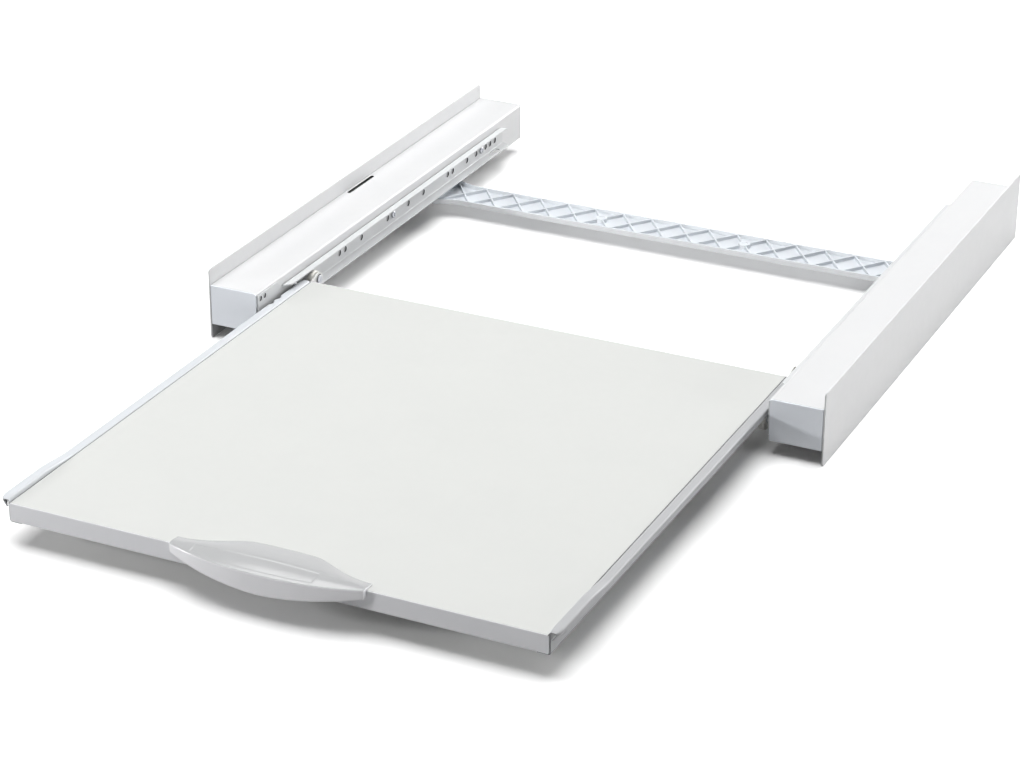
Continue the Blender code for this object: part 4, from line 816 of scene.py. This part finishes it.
SHELF_HALF = 237.5 * MM
SHELF_FRONT, SHELF_REAR = -480.75 * MM, 13.25 * MM
SHELF_BASE, SHELF_TOP = 22.5 * MM, 38.5 * MM
BAND, GLUE_GAP = 1.0 * MM, 0.02 * MM
PANEL_CORNER, PANEL_EDGE = 0.2 * MM, 0.05 * MM

melamine = coated_metal("white_melamine", (0.545, 0.553, 0.538), (0.535, 0.544, 0.53), 0.46,
                        0.012 * MM, 0.7 * MM, sheen=0.4)
inner = BAND + GLUE_GAP
panel = box_outline((inner - SHELF_HALF, SHELF_HALF - inner), (SHELF_FRONT + inner, SHELF_REAR - inner),
                    PANEL_CORNER)
make_piece("shelf_panel", [rounded_slab(panel, "Z", SHELF_BASE, SHELF_TOP, PANEL_EDGE)], melamine,
           "shelf", "white_melamine", "shelf_board")


# Edging. Strips of plastic one millimetre thick are glued round the panel's four edges, trimmed
# flush and scraped to a small radius, which catches the light as a thin bright line. The upper
# edges along both sides are painted dark, as painted shade in the gap beside the tracks.

BAND_CORNER, BAND_EDGE = 0.2 * MM, 0.3 * MM
DARK_REACH_X, DARK_REACH_Z = 0.7 * MM, 0.4 * MM

edge_band = coated_metal("edge_band", (0.77, 0.775, 0.80), (0.755, 0.76, 0.785), 0.36,
                         0.008 * MM, 1.5 * MM, sheen=0.5)
tree = edge_band.node_tree
place = axes_of(tree, "Object")
# The upper edges along both sides are painted dark, as painted shade in the gap beside the tracks.
at_side = lies_near(tree, calculated(tree, "ABSOLUTE", place["X"]), SHELF_HALF, DARK_REACH_X)
recoloured(tree, both(tree, at_side, lies_near(tree, place["Z"], SHELF_TOP, DARK_REACH_Z)),
           (0.13, 0.13, 0.13))
BANDS = {"front": ((-SHELF_HALF, SHELF_HALF), (SHELF_FRONT, SHELF_FRONT + BAND)),
         "rear": ((-SHELF_HALF, SHELF_HALF), (SHELF_REAR - BAND, SHELF_REAR)),
         "left": ((-SHELF_HALF, BAND - SHELF_HALF), (SHELF_FRONT + BAND, SHELF_REAR - BAND)),
         "right": ((SHELF_HALF - BAND, SHELF_HALF), (SHELF_FRONT + BAND, SHELF_REAR - BAND))}
for band_name, (x, y) in BANDS.items():
    strip = rounded_slab(box_outline(x, y, BAND_CORNER), "Z", SHELF_BASE, SHELF_TOP, BAND_EDGE)
    make_piece(f"shelf_{band_name}_edging", [strip], edge_band, "shelf", "edge_band",
               f"shelf_{band_name}_band")


# Tracks of the shelf. Each is folded from coated steel, with a foot under the panel, a web beside
# it and a flange that rides on the front wheel. Its front is raised, and its rear is an ear. Its
# upper and inward faces are painted lighter, as painted light, the upper ones on the left most of
# all, and a dark ring of painted shade lies round the rivet in the ear.

SHELF_TRACK_SHEET, SHELF_TRACK_WEB = 1.2 * MM, 238.4 * MM
SHELF_TRACK_BASE, SHELF_TRACK_TOP = 21.6 * MM, 39.1 * MM
SHELF_TRACK_FOOT, SHELF_TRACK_EDGE = 227.5 * MM, 246.0 * MM
SHELF_TRACK_BEND, SHELF_TRACK_LIP, BEND_STEPS = 1.3 * MM, 33.3 * MM, 7
SHELF_TRACK_FRONT, SHELF_TRACK_END = -479.25 * MM, 10.75 * MM
FRONT_RISE, RISE_LENGTH, RAMP_LENGTH = 3.0 * MM, 51.0 * MM, 45.0 * MM
EAR_Y, EAR_Z, EAR_RADIUS, EAR_REACH = 28.25 * MM, 34.75 * MM, 6.8 * MM, 15 * MM
RIVET_SHADE_RADIUS, RIVET_SHADE_HALF = 4.75 * MM, 0.5 * MM
NOTCHES = np.array((-47.25, -34.45)) * MM
NOTCH_RADIUS, NOTCH_DEPTH, NOTCH_HALF = 6.0 * MM, 2.2 * MM, 4.65 * MM
NOSE_DROOP, NOSE_LENGTH = 1.8 * MM, 8.0 * MM
NOSE_DRAW, NOSE_ROUND = 3.2 * MM, 7 * MM
LIP_LEAN, LEAN_LENGTH, LEAN_HEIGHT = 3.6 * MM, 14 * MM, 5 * MM
UPWARD, INWARD = (0.3, 0.8), (-0.08, -0.19)  # where each painted light on the upper and inward faces starts and is full


def eased(share):
    """Share from 0 to 1 that starts and ends level: 3 s^2 - 2 s^3."""
    share = np.clip(share, 0, 1)
    return share * share * (3 - 2 * share)


web_foot, web_head = SHELF_TRACK_BASE + SHELF_TRACK_BEND, SHELF_TRACK_TOP - SHELF_TRACK_BEND


def shelf_track_point(row, y, profile, out, up, lean):
    """Profile carried along Y. The flange's edge moves out by its draw, the flange and lip go up by
    the front's rise and droop at the nose, and the lip's foot is drawn in at the very front.
    Behind the flange, the web's top and foot close in on the round ear."""
    distance = y - SHELF_TRACK_FRONT
    rise = FRONT_RISE * (1 - eased((distance - RISE_LENGTH) / RAMP_LENGTH))
    rise = rise - NOSE_DROOP * np.clip(1 - distance / NOSE_LENGTH, 0, 1) ** 2
    draw = -NOSE_DRAW * (1 - quarter_taper(distance, NOSE_ROUND))
    for middle in NOTCHES:
        bite = np.sqrt(np.clip(NOTCH_RADIUS ** 2 - (y - middle) ** 2, 0, None))
        draw = draw - np.clip(bite - (NOTCH_RADIUS - NOTCH_DEPTH), 0, None)
    inward = LIP_LEAN * (1 - eased(distance / LEAN_LENGTH))
    x = profile[row, 0] + out[row] * draw - lean[row] * inward
    z = profile[row, 1] + up[row] * rise
    share = eased((y - SHELF_REAR) / (EAR_Y - SHELF_REAR))
    arc = np.sqrt(np.clip(EAR_RADIUS ** 2 - np.clip(y - EAR_Y, 0, None) ** 2, 0, None))
    low = np.where(y < EAR_Y, web_foot + (EAR_Z - EAR_RADIUS - web_foot) * share, EAR_Z - arc)
    high = np.where(y < EAR_Y, web_head + (EAR_Z + EAR_RADIUS - web_head) * share, EAR_Z + arc)
    height = ramp(profile[row, 1], web_foot, web_head)
    return np.column_stack([x, y, np.where(y > SHELF_TRACK_END, low + (high - low) * height, z)])


foot = np.linspace(SHELF_TRACK_FOOT, SHELF_TRACK_WEB - SHELF_TRACK_BEND, 4)[:-1]
web = np.linspace(web_foot, web_head, 9)[1:-1]
flange = np.linspace(SHELF_TRACK_WEB + SHELF_TRACK_BEND, SHELF_TRACK_EDGE - SHELF_TRACK_BEND, 5)[1:-1]
lip = np.linspace(web_head, SHELF_TRACK_LIP, 5)[1:]
shelf_profile = np.concatenate([
    np.column_stack([foot, np.full(len(foot), SHELF_TRACK_BASE)]),
    bend((SHELF_TRACK_WEB - SHELF_TRACK_BEND, web_foot), SHELF_TRACK_BEND, 270, 360, BEND_STEPS),
    np.column_stack([np.full(len(web), SHELF_TRACK_WEB), web]),
    bend((SHELF_TRACK_WEB + SHELF_TRACK_BEND, web_head), SHELF_TRACK_BEND, 180, 90, BEND_STEPS),
    np.column_stack([flange, np.full(len(flange), SHELF_TRACK_TOP)]),
    bend((SHELF_TRACK_EDGE - SHELF_TRACK_BEND, web_head), SHELF_TRACK_BEND, 90, 0, BEND_STEPS),
    np.column_stack([np.full(len(lip), SHELF_TRACK_EDGE), lip])])
numbers = np.arange(len(shelf_profile))
web_start = len(foot) + BEND_STEPS
web_end = web_start + len(web) + 1
past_web = numbers > web_end
profile_x, profile_z = shelf_profile.T
up = np.where(past_web, 1.0, ramp(profile_z, web_foot, web_head))
out = past_web * ramp(profile_x, SHELF_TRACK_WEB + SHELF_TRACK_BEND, SHELF_TRACK_EDGE - SHELF_TRACK_BEND)
lean = past_web * ramp(web_head - profile_z, 0, LEAN_HEIGHT)
shelf_y = grid_lines(
    SHELF_TRACK_FRONT + LEAN_LENGTH * np.linspace(0, 1, 15) ** 1.6,
    np.linspace(SHELF_TRACK_FRONT + RISE_LENGTH, SHELF_TRACK_FRONT + RISE_LENGTH + RAMP_LENGTH, 13),
    np.linspace(SHELF_TRACK_FRONT + 120 * MM, -70 * MM, 9),
    *(middle + np.linspace(-NOTCH_HALF, NOTCH_HALF, 11) for middle in NOTCHES),
    np.linspace(-20 * MM, SHELF_TRACK_END, 6), np.linspace(SHELF_TRACK_END, EAR_Y, 12),
    EAR_Y + EAR_RADIUS * np.sin(np.linspace(0, np.pi / 2, 14)))
in_web = (numbers[:-1] >= web_start) & (numbers[:-1] < web_end)
track_kept = in_web[:, None] | (shelf_y[1:] < SHELF_TRACK_END + HAIR)[None, :]
track_grid, track_faces = punched_grid(numbers.astype(float), shelf_y, [], track_kept)
track_surface = shelf_track_point(np.round(track_grid[:, 0]).astype(int), track_grid[:, 1],
                                  shelf_profile, out, up, lean)

shelf_epoxy = coated_metal("shelf_track_epoxy", (0.30, 0.305, 0.312), (0.29, 0.295, 0.302), 0.42,
                           0.006 * MM, 1.6 * MM, sheen=0.4)
tree = shelf_epoxy.node_tree
facing, place = axes_of(tree, "Normal"), axes_of(tree, "Object")
# Upper faces are painted lighter, as painted light, and those on the left side more so.
upward = ranged(tree, facing["Z"], *UPWARD)
recoloured(tree, upward, (0.38, 0.385, 0.395))
on_left = calculated(tree, "LESS_THAN", place["X"], 0.0)
recoloured(tree, both(tree, upward, on_left), (0.54, 0.56, 0.585))
# Inward faces are painted lighter as well, as painted light.
outwardness = calculated(tree, "MULTIPLY", facing["X"], place["X"])
recoloured(tree, ranged(tree, outwardness, *INWARD), (0.62, 0.64, 0.66))
recoloured(tree, lies_near(tree, place["Y"], EAR_Y, EAR_REACH), (0.66, 0.66, 0.64))
# A dark ring round the rivet in the ear is painted shade.
off_rivet = add_node(tree, "CombineXYZ", {"X": calculated(tree, "SUBTRACT", place["Y"], EAR_Y),
                                          "Y": calculated(tree, "SUBTRACT", place["Z"], EAR_Z)})
from_rivet = add_node(tree, "VectorMath", {0: off_rivet.outputs[0]}, operation="LENGTH").outputs["Value"]
recoloured(tree, lies_near(tree, from_rivet, RIVET_SHADE_RADIUS, RIVET_SHADE_HALF), (0.10, 0.10, 0.10))
for side_name, side in SIDES:
    shelf_track = make_piece(f"{side_name}_shelf_track",
                             sheet_mesh("shelf_track", side, (track_surface, track_faces)), shelf_epoxy,
                             "shelf", "runner_epoxy", f"{side_name}_drawer_runner", smooth=30.0)
    add_thickness(shelf_track, SHELF_TRACK_SHEET, 0.0, TRACK_CUT_EDGE)


# Screws of the shelf's tracks. Countersunk, three a side, they go up through the track's foot
# into the panel.

SHELF_SCREWS = np.array((-431.35, -233.75, -36.15)) * MM
SHELF_SCREW_X, SHELF_SCREW_Z = 232.5 * MM, 21.0 * MM
SHELF_SCREW = (3.5 * MM, 1.8 * MM, 1.5 * MM, 13.0 * MM, 2.5 * MM)  # head, shank, cone, length, tip
WOOD_PITCH, WOOD_DEPTH = 1.3 * MM, 0.16
HEAD_SKIN, CROSS_DEPTH = 0.01 * MM, 0.8 * MM


def countersunk_screw(head_radius, radius, cone, length, tip):
    """Flat head at Z = 0, pressed in by a cross, a cone up to the shank, a thread and a point."""
    head = np.column_stack([np.linspace(0, head_radius, 12), np.zeros(12)])
    screw = turned(np.concatenate([
        head, [(head_radius, 0.15 * MM), (radius, cone)],
        thread(cone + 0.3 * MM, length - tip, 21, radius, WOOD_PITCH, WOOD_DEPTH), [(0, length)]]), 32)
    return crossed_head(screw, HEAD_SKIN, head_radius * 0.6, head_radius * 0.3, CROSS_DEPTH)


for side_name, side in SIDES:
    for number, y in enumerate(SHELF_SCREWS, 1):
        screw = stood(countersunk_screw(*SHELF_SCREW), (side * SHELF_SCREW_X, y, SHELF_SCREW_Z),
                      (0, 0, 1))
        make_piece(f"{side_name}_shelf_track_screw_{number}", [screw], zinc, "shelf", "zinc_plate",
                   f"{side_name}_shelf_screw_{number}")


# Rear wheels. Cream nylon again, smaller, each on a rivet through the ear of the shelf's track.
# They run between the flanges of the rail's track.

REAR_WHEEL = np.array((243.9, 28.25, 34.75)) * MM
REAR_WHEEL_RADIUS, REAR_WHEEL_WIDTH = 7.6 * MM, 6.0 * MM
REAR_WHEEL_SUNK = 0.4 * MM
EAR_INNER, EAR_OUTER = 237.8 * MM, 239.0 * MM

inner_head = EAR_INNER - CLEAR
wheel_near = REAR_WHEEL[0] - REAR_WHEEL_WIDTH / 2
outer_head = REAR_WHEEL[0] + REAR_WHEEL_WIDTH / 2 - WHEEL_RECESS + CLEAR
rear_rivet = rivet([
    (RIVET_HEAD - 0.25 * MM, inner_head - RIVET_HEAD_HEIGHT), (RIVET_HEAD, inner_head - 0.75 * MM),
    (RIVET_HEAD, inner_head), (RIVET_RADIUS, inner_head), (RIVET_RADIUS, EAR_OUTER + CLEAR),
    (RIVET_SHOULDER, EAR_OUTER + CLEAR), (RIVET_SHOULDER, wheel_near - CLEAR),
    (RIVET_RADIUS, wheel_near - CLEAR), (RIVET_RADIUS, outer_head), (RIVET_HEAD, outer_head),
    (RIVET_HEAD, outer_head + RIVET_HEAD_HEIGHT)], REAR_WHEEL[0])
rear_wheel = wheel(REAR_WHEEL_RADIUS, REAR_WHEEL_WIDTH, REAR_WHEEL_SUNK)
for side_name, side in SIDES:
    place = REAR_WHEEL * (side, 1, 1)
    make_piece(f"{side_name}_rear_wheel", [stood(rear_wheel, place, (side, 0, 0))], nylon,
               f"{side_name}_rear_roller", "roller_nylon", f"{side_name}_rear_roller")
    make_piece(f"{side_name}_rear_wheel_rivet", [stood(rear_rivet, place, (side, 0, 0))], zinc,
               "shelf", "zinc_plate", f"{side_name}_rear_roller_pin")


# Grip. One moulding of pale plastic laps over the shelf's front edge. It slopes up to a crest,
# down to a rounded brow and then straight down, and leaves a gap behind for the fingers. A bare,
# smooth inset lies on the slope. Its upper faces are painted darker than its front, as painted
# shade.

GRIP_HALF = 86.0 * MM
GRIP_SEAT, GRIP_WALL, GRIP_EDGE = 38.8 * MM, 2.2 * MM, 1.0 * MM
BROW_RADIUS, REAR_EDGE, TIP_ROUND = 1.4 * MM, 0.9 * MM, 0.8 * MM
END_OVERHANG, BOW, FRONT_DRAFT, SLOPE_SWELL = 3.85 * MM, 14.5 * MM, 0.3 * MM, 0.5 * MM
REAR_REACH, REAR_CUT, CUT_START, CUT_SOFTNESS = 30.0 * MM, 19.5 * MM, 0.37, 0.09
CREST_RISE, CREST_SETBACK = (5.5 * MM, 2.6 * MM), (3.6 * MM, 0.3 * MM)  # in the middle, at the ends
BROW_RISE, APRON_DROP = (2.5 * MM, 2.4 * MM), (16.0 * MM, 6.0 * MM)
INSET_LEFT, INSET_RIGHT, INSET_DEPTH = -64.0 * MM, 45.0 * MM, 0.16 * MM
INSET_TOP, INSET_BOTTOM = 0.10, 0.90
INSET_END, INSET_STEP = 0.4 * MM, 0.03
GRIP_UPWARD = (0.35, 0.85)      # where the painted shade of its upper faces starts and is full


def between(share, power, middle, end):
    """Value that goes from middle to end as a power of the share of the half width."""
    return middle + (end - middle) * share ** power


def grip_sections(x):
    """Closed sections of the grip at places x, one row each. With s = |x| / half width, the front
    bows out by 1 - s^2.4, the crest falls as s^2, the brow is level and the apron rises as s^1.5.
    Each section goes up the rear slope, over the crest, down the slope with its inset, round the
    brow by a quarter round, down the front and back up behind the front wall."""
    share = np.abs(x) / GRIP_HALF
    bow = np.clip(1 - share ** 2.4, 0, 1)
    past = share - CUT_START
    cut = np.clip((past + np.sqrt(past ** 2 + CUT_SOFTNESS ** 2)) / 2 / (1 - CUT_START), 0, 1)
    from_end = np.clip((GRIP_HALF - np.abs(x)) / GRIP_EDGE, 0, 1)
    eased_in = GRIP_EDGE * (1 - np.sqrt(1 - (1 - from_end) ** 2))
    front = SHELF_FRONT - END_OVERHANG - BOW * bow + eased_in
    rear = SHELF_FRONT + REAR_REACH - REAR_CUT * np.sin(cut * np.pi / 2) - eased_in
    crest = SHELF_TOP + between(share, 2, *CREST_RISE) - eased_in
    crest_y = SHELF_FRONT + between(share, 2, *CREST_SETBACK)
    brow = SHELF_TOP + between(share, 2, *BROW_RISE) - eased_in
    tip = SHELF_TOP - between(share, 1.5, *APRON_DROP) + eased_in + TIP_ROUND
    bow, front, rear, crest, crest_y, brow, tip = (
        line[:, None] for line in (bow, front, rear, crest, crest_y, brow, tip))
    seat = np.full((len(x), 1), GRIP_SEAT)

    start_y, start_z = rear - REAR_EDGE, seat + REAR_EDGE
    over, down = (offsets[1:] for offsets in quarter_round(REAR_EDGE))
    rear_y, rear_z = rear - over, start_z - down
    t = np.linspace(0, 1, 12)[1:]
    back_y = start_y + (crest_y - start_y) * t
    back_z = start_z + (crest - start_z) * (1 - (1 - t) ** 1.5)

    edges = [edge + step for edge in (INSET_TOP, INSET_BOTTOM) for step in (-INSET_STEP, 0, INSET_STEP)]
    t = np.unique(np.concatenate([np.linspace(0, 1, 13)[1:], edges]))
    in_ends = ramp(x, INSET_LEFT - INSET_END, INSET_LEFT) * ramp(x, INSET_RIGHT + INSET_END, INSET_RIGHT)
    sunk = (in_ends[:, None] * ramp(t, INSET_TOP, INSET_TOP + INSET_STEP)
            * ramp(t, INSET_BOTTOM, INSET_BOTTOM - INSET_STEP))
    swell = SLOPE_SWELL * bow * np.sin(np.pi * t)
    brow_y = front + BROW_RADIUS
    slope_y = crest_y + (brow_y - crest_y) * t
    slope_z = crest + (brow - crest) * t + swell - sunk * (INSET_DEPTH + 0.25 * swell)

    down, over = (offsets[1:] for offsets in quarter_round(BROW_RADIUS, 5))
    round_y, round_z = front + over, brow - down
    t = np.linspace(0, 1, 7)[1:]
    apron_y = front + FRONT_DRAFT * t
    apron_z = brow - BROW_RADIUS + (tip - brow + BROW_RADIUS) * t
    turn = np.linspace(0, np.pi, 9)[1:]
    tip_y = front + FRONT_DRAFT + GRIP_WALL / 2 * (1 - np.cos(turn))
    tip_z = tip - TIP_ROUND * np.sin(turn)
    y = [rear, rear_y, back_y, slope_y, round_y, apron_y, tip_y, front + GRIP_WALL]
    z = [seat, rear_z, back_z, slope_z, round_z, apron_z, tip_z, seat]
    return np.stack([np.concatenate(y, axis=1), np.concatenate(z, axis=1)], axis=-1)


end_x = GRIP_HALF - GRIP_EDGE * np.linspace(0, 1, 6) ** 2
grip_x = grid_lines(GRIP_HALF * np.linspace(-1, 1, 97), -end_x, end_x, [
    INSET_LEFT - INSET_END, INSET_LEFT, INSET_RIGHT, INSET_RIGHT + INSET_END])
grip_rows = grip_sections(grip_x)
count = grip_rows.shape[1]
grip_points = np.concatenate([np.broadcast_to(grip_x[:, None, None], (len(grip_x), count, 1)),
                              grip_rows], axis=-1).reshape(-1, 3)
grip_faces = grid_quads(len(grip_x), count, round_columns=True).tolist()
grip_faces += [list(range(count)), list(range(len(grip_points) - count, len(grip_points)))]
grip_plastic = coated_metal("handle_plastic", (0.84, 0.84, 0.865), (0.83, 0.83, 0.855), 0.16,
                            0.002 * MM, 0.8 * MM, sheen=0.6)
tree = grip_plastic.node_tree
# The upper faces are painted darker, as painted shade.
recoloured(tree, ranged(tree, axes_of(tree, "Normal")["Z"], *GRIP_UPWARD), (0.38, 0.385, 0.39))
make_piece("grip", [(grip_points, grip_faces)], grip_plastic, "shelf", "handle_plastic", "handle",
           smooth=50.0)


# Screws of the grip. Two pan heads under the shelf go up through the panel into the moulding.

GRIP_SCREW_X, GRIP_SCREW_Y = 35.0 * MM, -472.75 * MM
GRIP_SCREW = (4.0 * MM, 2.0 * MM, 2.0 * MM, 19.0 * MM)  # head radius and height, radius, length

for side_name, side in SIDES:
    screw = stood(pan_head_screw(*GRIP_SCREW), (side * GRIP_SCREW_X, GRIP_SCREW_Y, SHELF_BASE - CLEAR),
                  (0, 0, 1))
    make_piece(f"grip_screw_{side_name}", [screw], zinc, "shelf", "zinc_plate",
               f"handle_screw_{side_name}")


# Spacer bar. It is one injection moulding in bluish white plastic: a shallow tray stiffened by
# crossed ribs, with ends that flare out. A tongue at each end plugs into the channel. The front
# wall is painted lighter than the rest, as painted light.

BAR_END = 251.2 * MM
BAR_REAR, BAR_FRONT = 339.75 * MM, 296.75 * MM
BAR_BASE, BAR_FLOOR, BAR_RIBS, BAR_TOP = 14.8 * MM, 16.3 * MM, 19.6 * MM, 20.4 * MM
BAR_WALL, RIB_HALF = 1.8 * MM, 0.7 * MM
BAR_CELLS, NODE_SPACING, NODE_SHIFT = 16, 30.78 * MM, 1.6 * MM
FLARE_LENGTH, FLARE_WIDTH = 30.0 * MM, 9.0 * MM
BOSS_CROSSINGS, BOSS_RADIUS, BOSS_ROUND, BOSS_RIM = (5, 10), 5.9 * MM, 0.5 * MM, 2.4 * MM
LIP_ROUND, FOOT_ROUND, RIB_DRAFT = 0.3 * MM, 0.5 * MM, 0.1 * MM
WALL_FOOT_ROUND, WALL_TOP_ROUND, OVERLAP = 0.2 * MM, 0.4 * MM, 0.05 * MM
TONGUE_START, TONGUE_END, TONGUE_HALF = BAR_END - 0.9 * MM, BAR_END + 6.3 * MM, 15 * MM
TONGUE_BASE, TONGUE_TOP, TONGUE_CORNER, TONGUE_EDGE = 16.7 * MM, 19.7 * MM, 1.5 * MM, 0.4 * MM
LEAST_STEP = 2 * MM
FRONTWARD = (-0.82, -0.95)      # where the painted light on the front wall starts and is full


def flare(x):
    """Widening of the bar near its ends: a quarter wave that dies out 30 mm in."""
    share = np.clip((BAR_END - np.abs(x)) / FLARE_LENGTH, 0, 1)
    return FLARE_WIDTH * (1 - np.sin(share * np.pi / 2))


def pocket(polygon):
    """Pocket inside a polygon of rib middle lines. Its section, as (distance in, height), runs
    flat over the rib, round its edge, down with a slight draft, round the foot and to the middle
    of the floor."""
    lip_down, lip_out = quarter_round(LIP_ROUND)
    foot_in, foot_up = quarter_round(FOOT_ROUND)
    depth = [0.0, *(RIB_HALF - lip_out), *(RIB_HALF + RIB_DRAFT + foot_in)]
    level = [BAR_RIBS, *(BAR_RIBS - lip_down), *(BAR_FLOOR + foot_up)]
    rings = level_rings(polygon, depth, level)
    rings.append(np.tile([*polygon.mean(axis=0), BAR_FLOOR], (len(polygon), 1)))
    return np.concatenate(rings), grid_quads(len(rings), len(polygon), round_columns=True)


net_end = BAR_END - BAR_WALL / 2
net_rear = BAR_REAR - BAR_WALL / 2
bar_middle = (BAR_REAR + BAR_FRONT) / 2
net_half = net_rear - bar_middle
nodes = NODE_SHIFT + NODE_SPACING * (np.arange(BAR_CELLS + 1) - BAR_CELLS / 2)
crossings = (nodes[:-1] + nodes[1:]) / 2
flare_x = net_end - FLARE_LENGTH * np.linspace(0, 0.98, 9)


def end_wall(end, crossing):
    """Wall's middle line from the flare's inner end out to the corner. Where the last rib, carried
    straight on past its node, meets the end wall short of the corner, the line goes down to it."""
    wall = [(end * x, net_half + flare(x)) for x in flare_x[::-1]]
    reach = net_half * (net_end - abs(crossing)) / (NODE_SPACING / 2)
    return wall + [(end * net_end, reach)] if wall[-1][1] - reach > LEAST_STEP else wall


bar_parts = []
for number in range(BAR_CELLS):
    left, right, middle = nodes[number], nodes[number + 1], crossings[number]
    rear = [(left, net_half), (right, net_half)]
    if number == 0:
        rear = end_wall(-1, middle)[::-1] + [(right, net_half)]
    elif number == BAR_CELLS - 1:
        rear = [(left, net_half)] + end_wall(1, middle)
    triangle = np.array(rear + [(middle, 0.0)])
    for mirror in (1, -1):
        bar_parts.append(pocket(triangle * (1, mirror) + (0, bar_middle)))
    if number > 0:
        before = crossings[number - 1]
        diamond = np.array([(left, net_half), (middle, 0.0), (left, -net_half), (before, 0.0)])
        bar_parts.append(pocket(diamond + (0, bar_middle)))
for end, crossing in ((-1, crossings[0]), (1, crossings[-1])):
    tip = np.array(end_wall(end, crossing)[-1])
    half_diamond = np.array([tip, (crossing, 0.0), tip * (1, -1)])
    bar_parts.append(pocket(half_diamond + (0, bar_middle)))

tray = merged("tray", bar_parts)
bm = bmesh.new()
bm.from_mesh(tray)
rim = [edge for edge in bm.edges if edge.is_boundary]
skirt = bmesh.ops.extrude_edge_only(bm, edges=rim)["geom"]
for vertex in (item for item in skirt if isinstance(item, bmesh.types.BMVert)):
    vertex.co.z = BAR_BASE + OVERLAP
bmesh.ops.edgeloop_fill(bm, edges=[item for item in skirt if isinstance(item, bmesh.types.BMEdge)])
bmesh.ops.recalc_face_normals(bm, faces=bm.faces)
bm.to_mesh(tray)
bm.free()

rear_x = np.concatenate([-(BAR_END - FLARE_LENGTH * np.linspace(0, 1, 17)),
                         (BAR_END - FLARE_LENGTH * np.linspace(1, 0, 17))])
rear_line = np.column_stack([rear_x, BAR_REAR + flare(rear_x)])
front_line = np.column_stack([rear_x[::-1], BAR_FRONT - flare(rear_x[::-1])])
bar_outline = np.concatenate([rear_line, front_line])
foot_up, foot_in = quarter_round(WALL_FOOT_ROUND)
top_in, top_down = quarter_round(WALL_TOP_ROUND)
wall_depth = np.concatenate([foot_in, top_in, BAR_WALL - top_down, [BAR_WALL + OVERLAP]])
wall_level = np.concatenate([BAR_BASE + foot_up, BAR_TOP - top_down, BAR_TOP - top_in, [BAR_BASE]])
wall_rings = np.concatenate(level_rings(bar_outline, wall_depth, wall_level))
wall_faces = grid_quads(len(wall_depth), len(bar_outline), round_rows=True, round_columns=True)

bar_pieces = [(wall_rings, wall_faces)]
dome_in, dome_down = quarter_round(BOSS_ROUND, 4)
boss, boss_faces = turned(np.concatenate([
    [(0, BAR_FLOOR), (BOSS_RADIUS, BAR_FLOOR)],
    np.column_stack([BOSS_RADIUS - dome_in, BAR_TOP - dome_down]),
    [(BOSS_RADIUS - BOSS_RIM, BAR_TOP), (BOSS_RADIUS - BOSS_RIM - 0.2 * MM, BAR_TOP - 0.4 * MM),
     (0, BAR_TOP - 0.5 * MM)]]), 40)
for end, crossing in zip((-1, 1), BOSS_CROSSINGS):
    bar_pieces.append((boss + (crossings[crossing], bar_middle, 0), boss_faces))
    tongue = box_outline(sorted((end * TONGUE_START, end * TONGUE_END)),
                         (bar_middle - TONGUE_HALF, bar_middle + TONGUE_HALF), TONGUE_CORNER)
    bar_pieces.append(rounded_slab(tongue, "Z", TONGUE_BASE, TONGUE_TOP, TONGUE_EDGE))
bar_points = np.array([vertex.co for vertex in tray.vertices])
bar_faces = [list(face.vertices) for face in tray.polygons]
bar_plastic = coated_metal("crossbar_plastic", (0.62, 0.65, 0.685), (0.61, 0.64, 0.675), 0.38,
                           0.010 * MM, 1.0 * MM, sheen=0.45)
tree = bar_plastic.node_tree
front_facing = ranged(tree, axes_of(tree, "Normal")["Y"], *FRONTWARD)
# The front wall is painted lighter, as painted light.
recoloured(tree, front_facing, (0.93, 0.95, 0.97))
make_piece("spacer_bar", [(bar_points, bar_faces)] + bar_pieces, bar_plastic, "frame",
           "crossbar_plastic", "crossbar", smooth=35.0)
